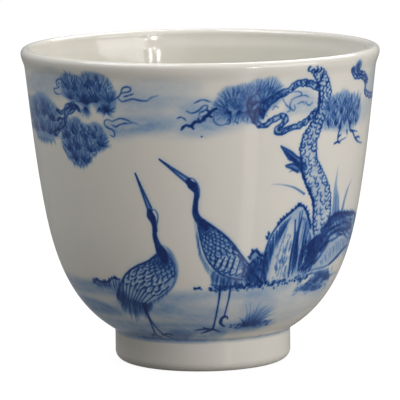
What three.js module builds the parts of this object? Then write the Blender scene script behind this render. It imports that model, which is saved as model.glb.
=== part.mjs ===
// A porcelain teacup: a thrown bowl on a turned foot ring, under three coats of clear glaze.
// Millimetres, +Z up. The origin is the middle of the face that the foot ring stands on, and Z is
// the cup's axis. Every piece is a body of revolution about that axis.

import * as THREE from "three";

// Driving dimensions.
const RIM_RADIUS = 45; // the lip's widest circle
const HEIGHT = 79.4; // standing face to the top of the lip
const LIP_ROUND = 1.35; // radius of the rolled lip, so the lip is 2.7 thick
const FOOT_RADIUS = 22.15; // outside of the foot ring
const FOOT_HEIGHT = 8.1; // standing face to the corner under the bowl
const FOOT_WALL = 4.1; // radial thickness of the foot ring
const FOOT_CORNER = 2.4; // rounding of the ring's lower outside corner
const FOOT_INNER_CORNER = 0.8; // rounding of the ring's lower inside corner
const FOOT_FILLET = 0.9; // hollow in the corner between the foot ring and the bowl
const WELL_DEPTH = 6.3; // standing face to the glazed ceiling of the foot well
const WELL_FILLET = 1.2; // hollow in the corner between the well's wall and its ceiling
const FLOOR_HEIGHT = 10.6; // standing face to the inside of the bowl, at its middle
const GLAZE = 0.3; // thickness of every coat of glaze
const BARE_ANGLE = 60; // degrees below level, round the ring's corner, where the glaze stops
const BARE_HEIGHT = 1.2; // the well's glaze stops this far above the standing face

// The outside leaves the foot at a flare, turns up at the shoulder, and opens a little to the
// neck, where the lip turns out. Leans are degrees out from vertical. A reach is how far a curve
// keeps its direction before it bends.
const FLARE = { lean: 58.6, reach: 11.5 };
const SHOULDER = { radius: 39.3, height: 38, lean: 10.5, reach: 13 };
const NECK = { radius: 44.05, height: 74.4, lean: 6.5, reach: 11.5 };
const LIP_REACH = 1.4;

// The wall is thinnest at the neck. Inside, it runs down to the floor in one sweep.
const SHOULDER_WALL = 2.8;
const NECK_WALL = 2.5;
const INNER_SHOULDER_REACH = 17;
const FLOOR_REACH = 25;

const SEGMENTS = 40; // round the axis

const CLEAR_GLAZE = { color: 0xdcd9cf, roughness: 0.12, metalness: 0 };
const BISCUIT = { color: 0xd9cfbf, roughness: 0.85, metalness: 0 };

const JOINT_HEIGHT = WELL_DEPTH + GLAZE; // the bowl sits on the foot ring at this height
const UP = 0;
const DOWN = 180;
const INWARD = -90;

function point(radius, height) {
  return new THREE.Vector2(radius, height);
}

// The point `length` away from `start`, in the direction `lean` degrees out from vertical.
function along(start, lean, length) {
  const angle = THREE.MathUtils.degToRad(lean);
  return point(start.x + length * Math.sin(angle), start.y + length * Math.cos(angle));
}

// Points on a curve that leaves `start` at one lean and arrives at `end` at another.
function sweep(start, startLean, startReach, end, endLean, endReach, steps) {
  const leaving = along(start, startLean, startReach);
  const arriving = along(end, endLean, -endReach);
  return new THREE.CubicBezierCurve(start, leaving, arriving, end).getPoints(steps);
}

// Points round a hollow corner.
function hollow(start, corner, end, steps) {
  return new THREE.QuadraticBezierCurve(start, corner, end).getPoints(steps);
}

// Points on an arc, with its angles in degrees from the outward direction.
function arc(centre, radius, fromAngle, toAngle, steps) {
  const from = THREE.MathUtils.degToRad(fromAngle);
  const to = THREE.MathUtils.degToRad(toAngle);
  const curve = new THREE.EllipseCurve(centre.x, centre.y, radius, radius, from, to, to < from);
  return curve.getPoints(steps);
}

// Stretches joined end to end, without the points that repeat.
function chain(...stretches) {
  const all = stretches.flat();
  return all.filter((p, i) => i === 0 || p.distanceTo(all[i - 1]) > 1e-6);
}

// The outline moved to the left of its direction of travel. Its last point is on the axis.
function moved(outline, distance) {
  const mirrored = point(-outline.at(-2).x, outline.at(-2).y);
  return outline.map((p, i) => {
    const next = outline[i + 1] ?? mirrored;
    const outgoing = next.clone().sub(p).normalize();
    const incoming = i > 0 ? p.clone().sub(outline[i - 1]).normalize() : outgoing;
    const travel = incoming.clone().add(outgoing).normalize();
    const left = point(-travel.y, travel.x);
    return p.clone().addScaledVector(left, distance / travel.dot(outgoing));
  });
}

// Outside of the foot ring, from the edge of its glaze up to the joint with the bowl.
function footOutside() {
  const centre = point(FOOT_RADIUS - FOOT_CORNER, FOOT_CORNER);
  const corner = arc(centre, FOOT_CORNER, -BARE_ANGLE, 0, 4);
  return [...corner, point(FOOT_RADIUS, JOINT_HEIGHT)];
}

// Outside of the bowl, from its joint with the foot ring up to the top of the lip.
function bowlOutside() {
  const corner = point(FOOT_RADIUS, FOOT_HEIGHT);
  const flare = along(corner, FLARE.lean, FOOT_FILLET);
  const shoulder = point(SHOULDER.radius, SHOULDER.height);
  const neck = point(NECK.radius, NECK.height);
  const lip = arc(point(RIM_RADIUS - LIP_ROUND, HEIGHT - LIP_ROUND), LIP_ROUND, 0, 90, 4);
  return chain(
    [point(FOOT_RADIUS, JOINT_HEIGHT)],
    hollow(along(corner, DOWN, FOOT_FILLET), corner, flare, 2),
    sweep(flare, FLARE.lean, FLARE.reach, shoulder, SHOULDER.lean, SHOULDER.reach, 9),
    sweep(shoulder, SHOULDER.lean, SHOULDER.reach, neck, NECK.lean, NECK.reach, 4),
    sweep(neck, NECK.lean, LIP_REACH, lip[0], UP, LIP_REACH, 3),
    lip,
  );
}

// Inside of the bowl, from the top of the lip down to the middle of the floor.
function bowlInside() {
  const lip = arc(point(RIM_RADIUS - LIP_ROUND, HEIGHT - LIP_ROUND), LIP_ROUND, 90, 180, 4);
  const neck = point(NECK.radius - NECK_WALL, NECK.height);
  const neckLean = DOWN + NECK.lean;
  const shoulder = point(SHOULDER.radius - SHOULDER_WALL, SHOULDER.height);
  const shoulderLean = DOWN + SHOULDER.lean;
  const floor = point(0, FLOOR_HEIGHT);
  return chain(
    lip,
    sweep(lip.at(-1), DOWN, LIP_REACH, neck, neckLean, LIP_REACH, 2),
    sweep(neck, neckLean, NECK.reach, shoulder, shoulderLean, SHOULDER.reach, 4),
    sweep(shoulder, shoulderLean, INNER_SHOULDER_REACH, floor, INWARD, FLOOR_REACH, 9),
  );
}

// The foot well, from the edge of its glaze up its wall and along its ceiling to the axis.
// `depth` is how far below the glaze's surface the outline runs.
function footWell(depth) {
  const radius = FOOT_RADIUS - FOOT_WALL + depth;
  const ceiling = WELL_DEPTH + depth;
  const corner = point(radius, ceiling);
  const start = point(radius, ceiling - WELL_FILLET);
  const end = point(radius - WELL_FILLET, ceiling);
  return [point(radius, BARE_HEIGHT), ...hollow(start, corner, end, 3), point(0, ceiling)];
}

// The bare part of the foot ring, from the well's glaze round to the outside glaze.
function bareFoot() {
  const innerRadius = FOOT_RADIUS - FOOT_WALL;
  const innerCentre = point(innerRadius + FOOT_INNER_CORNER, FOOT_INNER_CORNER);
  const outerCentre = point(FOOT_RADIUS - FOOT_CORNER, FOOT_CORNER);
  return [
    point(innerRadius, BARE_HEIGHT),
    ...arc(innerCentre, FOOT_INNER_CORNER, 180, 270, 3),
    ...arc(outerCentre, FOOT_CORNER, -90, -BARE_ANGLE, 2),
  ];
}

// A closed body of revolution. Its outline ends on the axis or comes back to its start.
function turned(name, outline, finish) {
  const geometry = new THREE.LatheGeometry(outline, SEGMENTS);
  geometry.rotateX(Math.PI / 2);
  const mesh = new THREE.Mesh(geometry, new THREE.MeshStandardMaterial(finish));
  mesh.name = name;
  return mesh;
}

// A coat that closes on itself all round, between its surface and the clay behind it.
function ringCoat(surface, behind) {
  return [...surface, ...behind.toReversed(), surface[0]];
}

// The surface runs up the outside, over the lip and down to the middle of the floor.
const surface = chain(footOutside(), bowlOutside(), bowlInside());
const clay = moved(surface, GLAZE);
const joint = footOutside().length - 1;
const lipTop = chain(footOutside(), bowlOutside()).length - 1;
const wellSurface = footWell(0);
const wellClay = footWell(GLAZE);

const bowl = [point(0, JOINT_HEIGHT), wellClay.at(-2), ...clay.slice(joint)];
const footRing = [...bareFoot(), ...clay.slice(0, joint + 1), ...wellClay.slice(0, -1).reverse()];
footRing.push(footRing[0]);
const outsideCoat = ringCoat(surface.slice(0, lipTop + 1), clay.slice(0, lipTop + 1));
const insideCoat = [...clay.slice(lipTop).reverse(), ...surface.slice(lipTop)];
const wellCoat = [...wellSurface.toReversed(), ...wellClay];

const teacup = new THREE.Group();
teacup.add(
  turned("bowl_body", bowl, BISCUIT),
  turned("foot_ring", footRing, BISCUIT),
  turned("outside_glaze", outsideCoat, CLEAR_GLAZE),
  turned("inside_glaze", insideCoat, CLEAR_GLAZE),
  turned("foot_well_glaze", wellCoat, CLEAR_GLAZE),
);

export default teacup;
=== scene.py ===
"""A blue-and-white porcelain teacup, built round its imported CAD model.

The glazed surfaces are smooth bodies of revolution on the CAD model's own outline. The cobalt
painting is brushed stroke by stroke onto the unrolled wall, and each point of the wall's mesh
keeps how much pigment lies there. Lengths are in millimetres until a mesh is made.
"""
import math

import bpy
import numpy as np
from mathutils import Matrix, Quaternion, Vector


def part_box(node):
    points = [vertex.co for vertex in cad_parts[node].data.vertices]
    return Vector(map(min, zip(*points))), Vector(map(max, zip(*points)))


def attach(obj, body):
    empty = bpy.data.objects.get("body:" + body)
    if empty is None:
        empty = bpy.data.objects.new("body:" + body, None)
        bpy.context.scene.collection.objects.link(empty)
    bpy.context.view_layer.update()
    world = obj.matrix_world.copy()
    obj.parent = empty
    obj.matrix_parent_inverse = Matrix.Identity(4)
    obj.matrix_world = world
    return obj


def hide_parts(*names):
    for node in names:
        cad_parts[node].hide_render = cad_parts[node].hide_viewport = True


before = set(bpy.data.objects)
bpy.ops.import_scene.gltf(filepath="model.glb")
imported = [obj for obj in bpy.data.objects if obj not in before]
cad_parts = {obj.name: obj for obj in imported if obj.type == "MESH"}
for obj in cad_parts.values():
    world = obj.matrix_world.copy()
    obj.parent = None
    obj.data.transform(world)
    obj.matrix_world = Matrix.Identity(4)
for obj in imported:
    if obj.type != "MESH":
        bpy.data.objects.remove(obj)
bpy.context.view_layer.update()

MM = 0.001
FULL_TURN = 2 * math.pi
TINY = 1e-6  # two points nearer than this are the same point

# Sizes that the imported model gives, in millimetres.
GLAZE = 0.3
RIM_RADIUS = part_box("outside_glaze")[1].x / MM
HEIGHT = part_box("outside_glaze")[1].z / MM
FOOT_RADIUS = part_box("foot_ring")[1].x / MM + GLAZE
JOINT_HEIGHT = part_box("foot_ring")[1].z / MM
WELL_DEPTH = JOINT_HEIGHT - GLAZE
WELL_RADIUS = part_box("foot_well_glaze")[1].x / MM - GLAZE
FLOOR_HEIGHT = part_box("inside_glaze")[0].z / MM + GLAZE

# The rest of the outline, as the CAD model has it. A lean is in degrees out from vertical, and a
# reach is how far a curve keeps its direction before it bends.
LIP_ROUND = 1.35
FOOT_HEIGHT = 8.1
FOOT_CORNER = 2.4
FOOT_INNER_CORNER = 0.8
FOOT_FILLET = 0.9
WELL_FILLET = 1.2
BARE_ANGLE = 60
BARE_HEIGHT = 1.2
FLARE = {"lean": 58.6, "reach": 11.5}
SHOULDER = {"radius": 39.3, "height": 38, "lean": 10.5, "reach": 13}
NECK = {"radius": 44.05, "height": 74.4, "lean": 6.5, "reach": 11.5}
LIP_REACH = 1.4
SHOULDER_WALL = 2.8
NECK_WALL = 2.5
INNER_SHOULDER_REACH = 17
FLOOR_REACH = 25
DOWN = 180
INWARD = -90

WALL_STEPS = 400  # points on each long curve of the outside wall
CORE_POINTS = 200  # points on the outline of the hidden clay
ROUND_COLUMNS = 360  # mesh columns round the plain pieces
PANEL_SPACING = {"glaze_front": 0.2, "glaze_back": 0.4}
BACKING_SPACING = 0.8  # the hidden back of a painted panel is coarser than its surface
MAP_MARGIN = 0.004  # empty share of a panel's UV map at each edge


# ---------------------------------------------------------------- outlines

def along(start, lean, length):
    """The point `length` away from start, in the direction `lean` degrees out from vertical."""
    angle = math.radians(lean)
    return np.array([start[0] + length * math.sin(angle), start[1] + length * math.cos(angle)])


def sweep(start, start_lean, start_reach, end, end_lean, end_reach, steps):
    """Points on a cubic curve that leaves start at one lean and arrives at end at another."""
    leaving = along(start, start_lean, start_reach)
    arriving = along(end, end_lean, -end_reach)
    t = np.linspace(0, 1, steps + 1)[:, None]
    near = (1 - t) ** 3 * np.array(start) + 3 * (1 - t) ** 2 * t * leaving
    far = 3 * (1 - t) * t ** 2 * arriving + t ** 3 * np.array(end)
    return near + far


def hollow(start, corner, end, steps):
    """Points round a hollow corner."""
    t = np.linspace(0, 1, steps + 1)[:, None]
    return ((1 - t) ** 2 * np.array(start) + 2 * (1 - t) * t * np.array(corner)
            + t ** 2 * np.array(end))


def arc(centre, radius, from_angle, to_angle, steps):
    """Points on an arc, with its angles in degrees from the outward direction."""
    angle = np.radians(np.linspace(from_angle, to_angle, steps + 1))
    return np.stack([centre[0] + radius * np.cos(angle), centre[1] + radius * np.sin(angle)], 1)


def straight(start, end, steps):
    """Points on a straight line."""
    t = np.linspace(0, 1, steps + 1)[:, None]
    return (1 - t) * np.array(start) + t * np.array(end)


def chain(*stretches):
    """Stretches joined end to end, without the points that repeat."""
    points = np.concatenate(stretches)
    kept = np.ones(len(points), bool)
    kept[1:] = np.hypot(*np.diff(points, axis=0).T) > TINY
    return points[kept]


def lengths_along(outline):
    """How far along an outline each of its points is."""
    return np.concatenate([[0], np.cumsum(np.hypot(*np.diff(outline, axis=0).T))])


def resampled(outline, count):
    """The outline again, as `count` points at even distances."""
    reached = lengths_along(outline)
    wanted = np.linspace(0, reached[-1], count)
    return np.stack([np.interp(wanted, reached, outline[:, k]) for k in (0, 1)], 1)


def facing(outline):
    """The unit normal at each point of an outline, to the right of its direction of travel."""
    travel = np.gradient(outline, lengths_along(outline), axis=0)
    travel /= np.linalg.norm(travel, axis=1)[:, None]
    return np.stack([travel[:, 1], -travel[:, 0]], 1)


def behind(outline, depth=GLAZE):
    """The same outline from its end back to its start, `depth` under its surface."""
    return (outline - depth * facing(outline))[::-1]


def foot_outside():
    """Outside of the foot ring, from the edge of its glaze up to the hollow under the bowl."""
    corner = arc((FOOT_RADIUS - FOOT_CORNER, FOOT_CORNER), FOOT_CORNER, -BARE_ANGLE, 0, 12)
    return chain(corner, straight(corner[-1], (FOOT_RADIUS, FOOT_HEIGHT - FOOT_FILLET), 12))


def wall_outside():
    """Outside of the bowl, from the hollow under it up to the lip's widest circle."""
    corner = (FOOT_RADIUS, FOOT_HEIGHT)
    flare = along(corner, FLARE["lean"], FOOT_FILLET)
    shoulder = (SHOULDER["radius"], SHOULDER["height"])
    neck = (NECK["radius"], NECK["height"])
    widest = (RIM_RADIUS, HEIGHT - LIP_ROUND)
    return chain(
        hollow((FOOT_RADIUS, FOOT_HEIGHT - FOOT_FILLET), corner, flare, 20),
        sweep(flare, FLARE["lean"], FLARE["reach"],
              shoulder, SHOULDER["lean"], SHOULDER["reach"], WALL_STEPS),
        sweep(shoulder, SHOULDER["lean"], SHOULDER["reach"],
              neck, NECK["lean"], NECK["reach"], WALL_STEPS),
        sweep(neck, NECK["lean"], LIP_REACH, widest, 0, LIP_REACH, 40),
    )


def lip():
    """Over the lip, from its widest circle to the neck inside."""
    roll = arc((RIM_RADIUS - LIP_ROUND, HEIGHT - LIP_ROUND), LIP_ROUND, 0, 180, 28)
    inner = (NECK["radius"] - NECK_WALL, NECK["height"])
    return chain(roll, sweep(roll[-1], DOWN, LIP_REACH, inner, DOWN + NECK["lean"], LIP_REACH, 12))


def wall_inside():
    """Inside of the bowl, from the neck down to the middle of the floor."""
    neck = (NECK["radius"] - NECK_WALL, NECK["height"])
    shoulder = (SHOULDER["radius"] - SHOULDER_WALL, SHOULDER["height"])
    return chain(
        sweep(neck, DOWN + NECK["lean"], NECK["reach"],
              shoulder, DOWN + SHOULDER["lean"], SHOULDER["reach"], 60),
        sweep(shoulder, DOWN + SHOULDER["lean"], INNER_SHOULDER_REACH,
              (0, FLOOR_HEIGHT), INWARD, FLOOR_REACH, 90),
    )


def foot_well():
    """The foot well, from the axis out along its ceiling and down its wall to its glaze's edge."""
    corner = (WELL_RADIUS, WELL_DEPTH)
    level = (WELL_RADIUS - WELL_FILLET, WELL_DEPTH)
    upright = (WELL_RADIUS, WELL_DEPTH - WELL_FILLET)
    return chain(
        straight((0, WELL_DEPTH), level, 20),
        hollow(level, corner, upright, 10),
        straight(upright, (WELL_RADIUS, BARE_HEIGHT), 8),
    )


def bare_foot():
    """The bare part of the foot ring, from the well's glaze round to the outside glaze."""
    inner = (WELL_RADIUS + FOOT_INNER_CORNER, FOOT_INNER_CORNER)
    outer = (FOOT_RADIUS - FOOT_CORNER, FOOT_CORNER)
    return chain(
        straight((WELL_RADIUS, BARE_HEIGHT), (WELL_RADIUS, FOOT_INNER_CORNER), 2),
        arc(inner, FOOT_INNER_CORNER, 180, 270, 8),
        straight((inner[0], 0), (outer[0], 0), 6),
        arc(outer, FOOT_CORNER, -90, -BARE_ANGLE, 6),
    )


WALL = wall_outside()
WALL_LENGTH = lengths_along(WALL)[-1]


def wall_at_height(height):
    """(radius, distance up the wall) at a height on the outside of the bowl."""
    return (np.interp(height, WALL[:, 1], WALL[:, 0]),
            np.interp(height, WALL[:, 1], lengths_along(WALL)))


# ---------------------------------------------------------------- brushes

# The wall is unrolled into a sheet. A spot on it is (theta, height): degrees round the cup from
# the middle of its front, to the right, and millimetres above the standing face. Pigment goes
# from 0, bare porcelain, to 1, the deepest blue.
DOT = 0.125  # the sheet's pixel, in millimetres
SHEET_RADIUS = 42  # where the sheet's pixels are square
LINE_SPACING = 0.12  # between the points of a smooth line
SOFT_EDGE = 0.28  # how wide the edge of a stroke fades
SEED = 11
WATER_GRAINS = [((9, 26), 0.6), ((4, 9), 0.4)]  # rows and columns to a grain, and their share
WASH_EDGE = 0.12  # pigment gathers this much at the edge of a wash
FINE_GRAIN = (3, 3)
COARSE_GRAIN = (14, 20)
FIRED_TONE = (0.86, 0.16, 0.12)  # how much of a tone is steady, and goes with each of the grains
POOL_REACH = 1.3  # glaze pools bluish in the hollow over the foot, this far up the wall
POOL_WIDTH = 0.7
POOL_TONE = 0.3
HALO_REACH = 0.7  # cobalt spreads a little way into the glaze around it
HALO_TONE = 0.2
SPECKS = [((0.2, 61.6), 0.36), ((150, 52), 0.3)]  # stray dots, as (spot, width)


def smooth(path, closed=False):
    """A curve through the points of a path, as many points close together."""
    path = np.array(path, float)
    if closed:
        ends = np.concatenate([path[-1:], path, path[:2]])
    else:
        ends = np.concatenate([2 * path[:1] - path[1:2], path, 2 * path[-1:] - path[-2:-1]])
    curve = []
    for a, b, c, d in zip(ends, ends[1:], ends[2:], ends[3:]):
        across = math.radians(c[0] - b[0]) * SHEET_RADIUS
        count = max(2, int(math.hypot(across, c[1] - b[1]) / LINE_SPACING))
        t = np.linspace(0, 1, count, endpoint=False)[:, None]
        curve.append(0.5 * (2 * b + (c - a) * t + (2 * a - 5 * b + 4 * c - d) * t ** 2
                            + (3 * b - a - 3 * c + d) * t ** 3))
    curve.append(ends[-2][None] if not closed else path[:1])
    return np.concatenate(curve)


def graded(values, count):
    """One number, or several spaced evenly from a stroke's start to its end, at every point."""
    values = np.atleast_1d(values)
    return np.interp(np.linspace(0, 1, count), np.linspace(0, 1, len(values)), values)


def blurred(picture, radius):
    """A picture softened by about that many pixels."""
    size = max(1, int(round(radius)))
    for _ in range(2):
        for axis in (0, 1):
            widths = [(size, size) if k == axis else (0, 0) for k in (0, 1)]
            total = np.cumsum(np.pad(picture, widths, mode="edge"), axis=axis, dtype=np.float64)
            total = np.concatenate([np.zeros_like(np.take(total, [0], axis)), total], axis)
            high = np.take(total, np.arange(2 * size, total.shape[axis]), axis)
            low = np.take(total, np.arange(0, total.shape[axis] - 2 * size), axis)
            picture = ((high - low) / (2 * size))
            picture = np.take(picture, np.arange(picture.shape[axis] - 1), axis)
    return picture


def mottled(shape, grain, random):
    """Smooth noise from 0 to 1, its grain given as (rows, columns) in pixels."""
    rows = np.linspace(0, shape[0] / grain[0], shape[0])
    columns = np.linspace(0, shape[1] / grain[1], shape[1])
    values = random.random((int(rows[-1]) + 3, int(columns[-1]) + 3))
    y, x = rows.astype(int), columns.astype(int)
    fy, fx = (rows - y)[:, None], (columns - x)[None]
    fy, fx = fy * fy * (3 - 2 * fy), fx * fx * (3 - 2 * fx)
    low = values[np.ix_(y, x)] * (1 - fx) + values[np.ix_(y, x + 1)] * fx
    high = values[np.ix_(y + 1, x)] * (1 - fx) + values[np.ix_(y + 1, x + 1)] * fx
    return low * (1 - fy) + high * fy


class Painting:
    """Cobalt pigment on the unrolled wall. Rows go up the wall and columns go round it."""

    def __init__(self):
        self.random = np.random.default_rng(SEED)
        self.rows = round(WALL_LENGTH / DOT) + 1
        self.columns = round(FULL_TURN * SHEET_RADIUS / DOT)
        self.pigment = np.zeros((self.rows, self.columns))
        self.reach = np.linspace(0, WALL_LENGTH, self.rows)
        self.radius = np.interp(self.reach, lengths_along(WALL), WALL[:, 0])

    def vary(self, low, high, count=None):
        """A number drawn between two, or several of them."""
        return self.random.uniform(low, high, count)

    def unrolled(self, spots):
        """Spots as (theta, distance up the wall)."""
        spots = np.array(spots, float)
        return np.stack([spots[:, 0], wall_at_height(spots[:, 1])[1]], 1)

    def window(self, line, margin):
        """The rows and columns of the part of the sheet that a line and its margin cover."""
        turn = math.degrees(margin / np.interp(line[:, 1].min(), self.reach, self.radius))
        low = max(0, int((line[:, 1].min() - margin) / DOT))
        high = min(self.rows, int((line[:, 1].max() + margin) / DOT) + 2)
        west = math.floor((line[:, 0].min() - turn + 180) / 360 * self.columns)
        east = math.ceil((line[:, 0].max() + turn + 180) / 360 * self.columns) + 1
        return np.arange(low, max(high, low + 1)), np.arange(west, east)

    def lay(self, rows, columns, cover, lift):
        """Adds pigment where it covers, or takes it off."""
        place = np.ix_(rows, columns % self.columns)
        old = self.pigment[place]
        self.pigment[place] = old * (1 - cover) if lift else 1 - (1 - old) * (1 - cover)

    def stroke(self, spots, width, tone, soft=SOFT_EDGE, lift=False):
        """A brush stroke through the spots. Its width in millimetres and its tone may each be one
        number, or several from its start to its end."""
        line = self.unrolled(smooth(spots))
        half = graded(width, len(line)) / 2
        strength = graded(tone, len(line))
        radius = np.interp(line[:, 1], self.reach, self.radius)
        rows, columns = self.window(line, half.max() + soft)
        theta = columns / self.columns * 360 - 180
        across = np.radians(theta[:, None] - line[:, 0]) * radius
        up = self.reach[rows][:, None] - line[:, 1]
        distance = np.sqrt(up[:, None] ** 2 + across[None] ** 2)
        cover = np.clip((half - distance) / soft + 0.5, 0, 1) * strength
        self.lay(rows, columns, cover.max(-1), lift)

    def wash(self, spots, tone, soft=0.8, uneven=0.35, lift=False):
        """A thin wash inside the closed curve through the spots, uneven as water leaves it."""
        line = self.unrolled(smooth(spots, closed=True))
        rows, columns = self.window(line, 2.5 * soft)
        x = (line[:, 0] + 180) / 360 * self.columns - columns[0]
        y = line[:, 1] / DOT - rows[0]
        mask = np.zeros((len(rows), len(columns)))
        after_x, after_y = np.roll(x, -1), np.roll(y, -1)
        for k in range(len(rows)):
            crosses = (y <= k) != (after_y <= k)
            share = (k - y[crosses]) / (after_y[crosses] - y[crosses])
            edges = np.sort(x[crosses] + share * (after_x[crosses] - x[crosses]))
            for west, east in zip(edges[::2], edges[1::2]):
                mask[k, max(0, math.ceil(west)):max(0, math.floor(east) + 1)] = 1
        mask = blurred(mask, soft / DOT)
        water = sum(mottled(mask.shape, grain, self.random) * share for grain,
                    share in WATER_GRAINS)
        edge = 4 * mask * (1 - mask)
        cover = tone * (mask * (1 - uneven * water) + WASH_EDGE * edge)
        self.lay(rows, columns, np.clip(cover, 0, 1), lift)

    def beside(self, spot, right, up):
        """The spot that many millimetres to the right of one and up the wall from it."""
        radius, reach = wall_at_height(spot[1])
        height = np.interp(reach + up, lengths_along(WALL), WALL[:, 1])
        return spot[0] + math.degrees(right / radius), float(height)

    def ray(self, spot, lean, start, end, bend=0.0):
        """Spots on a line out from one, at a lean in degrees from upright towards the right."""
        spots = []
        for share in (0, 0.5, 1):
            away = start + share * (end - start)
            angle = math.radians(lean + bend * share)
            spots.append(self.beside(spot, away * math.sin(angle), away * math.cos(angle)))
        return spots

    def finished(self):
        """The sheet with the grain that cobalt leaves in the glaze."""
        grain = mottled(self.pigment.shape, FINE_GRAIN, self.random)
        cloud = mottled(self.pigment.shape, COARSE_GRAIN, self.random)
        steady, with_grain, with_cloud = FIRED_TONE
        halo = HALO_TONE * blurred(self.pigment, HALO_REACH / DOT)
        rim = POOL_TONE * np.exp(-((self.reach - POOL_REACH) / POOL_WIDTH) ** 2)[:, None]
        pigment = 1 - (1 - self.pigment) * (1 - halo) * (1 - rim * (0.6 + 0.6 * cloud))
        return np.clip(pigment * (steady + with_grain * grain + with_cloud * cloud), 0, 1)


# ---------------------------------------------------------------- what is painted

def lines(sheet, paths, width, tone, **brush):
    """Several strokes with the same brush."""
    for spots in paths:
        sheet.stroke(spots, width, tone, **brush)


def washes(sheet, outlines, **brush):
    """Several washes, each an outline and its tone, with the same brush."""
    for outline, tone in outlines:
        sheet.wash(outline, tone, **brush)


def flecks(sheet, count, box, leans, lengths, width, tones):
    """Short strokes strewn over a box of (west, east, low, high)."""
    west, east, low, high = box
    for _ in range(count):
        place = (sheet.vary(west, east), sheet.vary(low, high))
        ray = sheet.ray(place, sheet.vary(*leans), 0, sheet.vary(*lengths))
        sheet.stroke(ray, width, sheet.vary(*tones))


def needle_fan(sheet, spot, length, spread, count=26, tone=0.8, width=0.3, lean=0.0, lift=False):
    """Pine needles that radiate from a spot, within `spread` degrees to each side of a lean."""
    for angle in np.linspace(lean - spread, lean + spread, count):
        away = length * sheet.vary(0.8, 1.08)
        bend = sheet.vary(-8, 8)
        sheet.stroke(sheet.ray(spot, angle, 0.25 * length * sheet.random.random(), away, bend),
                     (1.2 * width, width, 0.5 * width), (tone, 0.9 * tone, 0.55 * tone), lift=lift)


def pine_fan(sheet, spot, size, tone=0.7, lean=0.0, spread=75):
    """A rounded fan of needles, dark at its foot, that covers what is behind it a little."""
    turns = np.linspace(0, 2 * math.pi, 9)[:-1]
    rim = [sheet.beside(spot, size * math.sin(turn), size * math.cos(turn)) for turn in turns]
    foot = sheet.ray(spot, lean + 180, 0, 0.6 * size)[2]
    sheet.wash(rim, 0.5, soft=0.4, lift=True)
    sheet.wash(rim, 0.52 * tone, soft=0.4, uneven=0.6)
    needle_fan(sheet, foot, 1.6 * size, spread, int(6 * size), 0.6, 0.22, lean, lift=True)
    needle_fan(sheet, foot, 1.65 * size, spread, int(7 * size), 1.1 * tone, 0.21, lean)
    needle_fan(sheet, foot, 0.7 * size, spread, int(3 * size), 0.6 * tone, 0.32, lean)


def loose_needles(sheet, box, count):
    """Short upright needles strewn over a box of (west, east, low, high), dark and pale."""
    west, east, low, high = box
    for _ in range(count):
        spot = (sheet.vary(west, east), sheet.vary(low, high))
        pale = sheet.random.random() < 0.4
        ray = sheet.ray(spot, sheet.vary(-40, 40), 0, sheet.vary(0.7, 1.9))
        sheet.stroke(ray, (0.28, 0.24, 0.14), 0.4 if pale else sheet.vary(0.3, 0.65), lift=pale)


def double_line(sheet, spots, width, tone=0.8, fill=0.35, line=0.34, bark=1.0):
    """A branch with a dark line down each side, and flakes of bark on a paler body. `bark` is how
    many flakes there are to a millimetre."""
    sheet.stroke(spots, width, fill, soft=0.35)
    spots = smooth(spots)
    for _ in range(int(bark * len(spots) * LINE_SPACING)):
        spot = tuple(spots[sheet.random.integers(len(spots))])
        half = 0.35 * np.min(width)
        place = sheet.beside(spot, *sheet.vary(-half, half, 2))
        bark_curl(sheet, place, 0.35 * np.min(width))
    spots = spots[::6]
    travel = np.gradient(spots, axis=0)
    radius = wall_at_height(spots[:, 1])[0]
    travel[:, 0] *= np.radians(radius)
    travel /= np.linalg.norm(travel, axis=1)[:, None]
    half = graded(width, len(spots)) / 2
    for side in (-1, 1):
        edge = spots.copy()
        wobble = half + sheet.vary(-0.24, 0.16, len(spots))
        edge[:, 0] += np.degrees(side * wobble * travel[:, 1] / radius)
        edge[:, 1] -= side * wobble * travel[:, 0]
        sheet.stroke(edge, (line, 1.3 * line, 0.8 * line, 1.3 * line, line), tone)


def bark_curl(sheet, spot, size=1.0, turn=None):
    """A small hooked flake of bark, which bulges the way it is turned."""
    turn = sheet.vary(90, 300) if turn is None else turn
    size = size * sheet.vary(0.55, 0.8)
    curve = [sheet.beside(spot, size * math.sin(math.radians(turn + step)),
                          size * math.cos(math.radians(turn + step)))
             for step in (-85, -30, 30, 85)]
    sheet.stroke(curve, (0.24, 0.4, 0.26), sheet.vary(0.65, 0.95))


def across_body(first, second, along_share, across_share):
    """A spot between two edges of a body, each a curve in the same direction."""
    a = first[int(round(np.clip(along_share, 0, 1) * (len(first) - 1)))]
    b = second[int(round(np.clip(along_share, 0, 1) * (len(second) - 1)))]
    return tuple(a + (b - a) * np.clip(across_share, 0, 1))


def scales(sheet, first, second, rows, columns, tone, line=0.34, droop=1.0, start=0.0, end=1.0,
           pale=0.0):
    """Rows of rounded scales between two edges, each hanging towards the edges' ends, with a pale
    band inside its dark line."""
    first, second = smooth(first), smooth(second)
    step = (end - start) / rows
    for row in range(rows):
        here = start + row * step
        for column in range(columns + 1):
            middle = (column + 0.5 * (row % 2)) / columns + sheet.vary(-0.2, 0.2) / columns
            half = 0.5 / columns * sheet.vary(0.8, 1.2)
            reach = step * droop * sheet.vary(0.8, 1.3)
            if middle > 1.01:
                continue

            def arch(share):
                """The scale's edge, or a smaller one inside it."""
                places = [(here, middle - share * half), (here + 0.75 * share * reach,
                          middle - 0.7 * share * half), (here + 1.15 * share * reach, middle),
                          (here + 0.75 * share * reach, middle + 0.7 * share * half),
                          (here, middle + share * half)]
                return [across_body(first, second, *place) for place in places]

            if pale:
                sheet.stroke(arch(0.62), 1.2 * line, pale, lift=True)
            sheet.stroke(arch(1.0), line, min(tone * sheet.vary(0.8, 1.15), 1))


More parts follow.
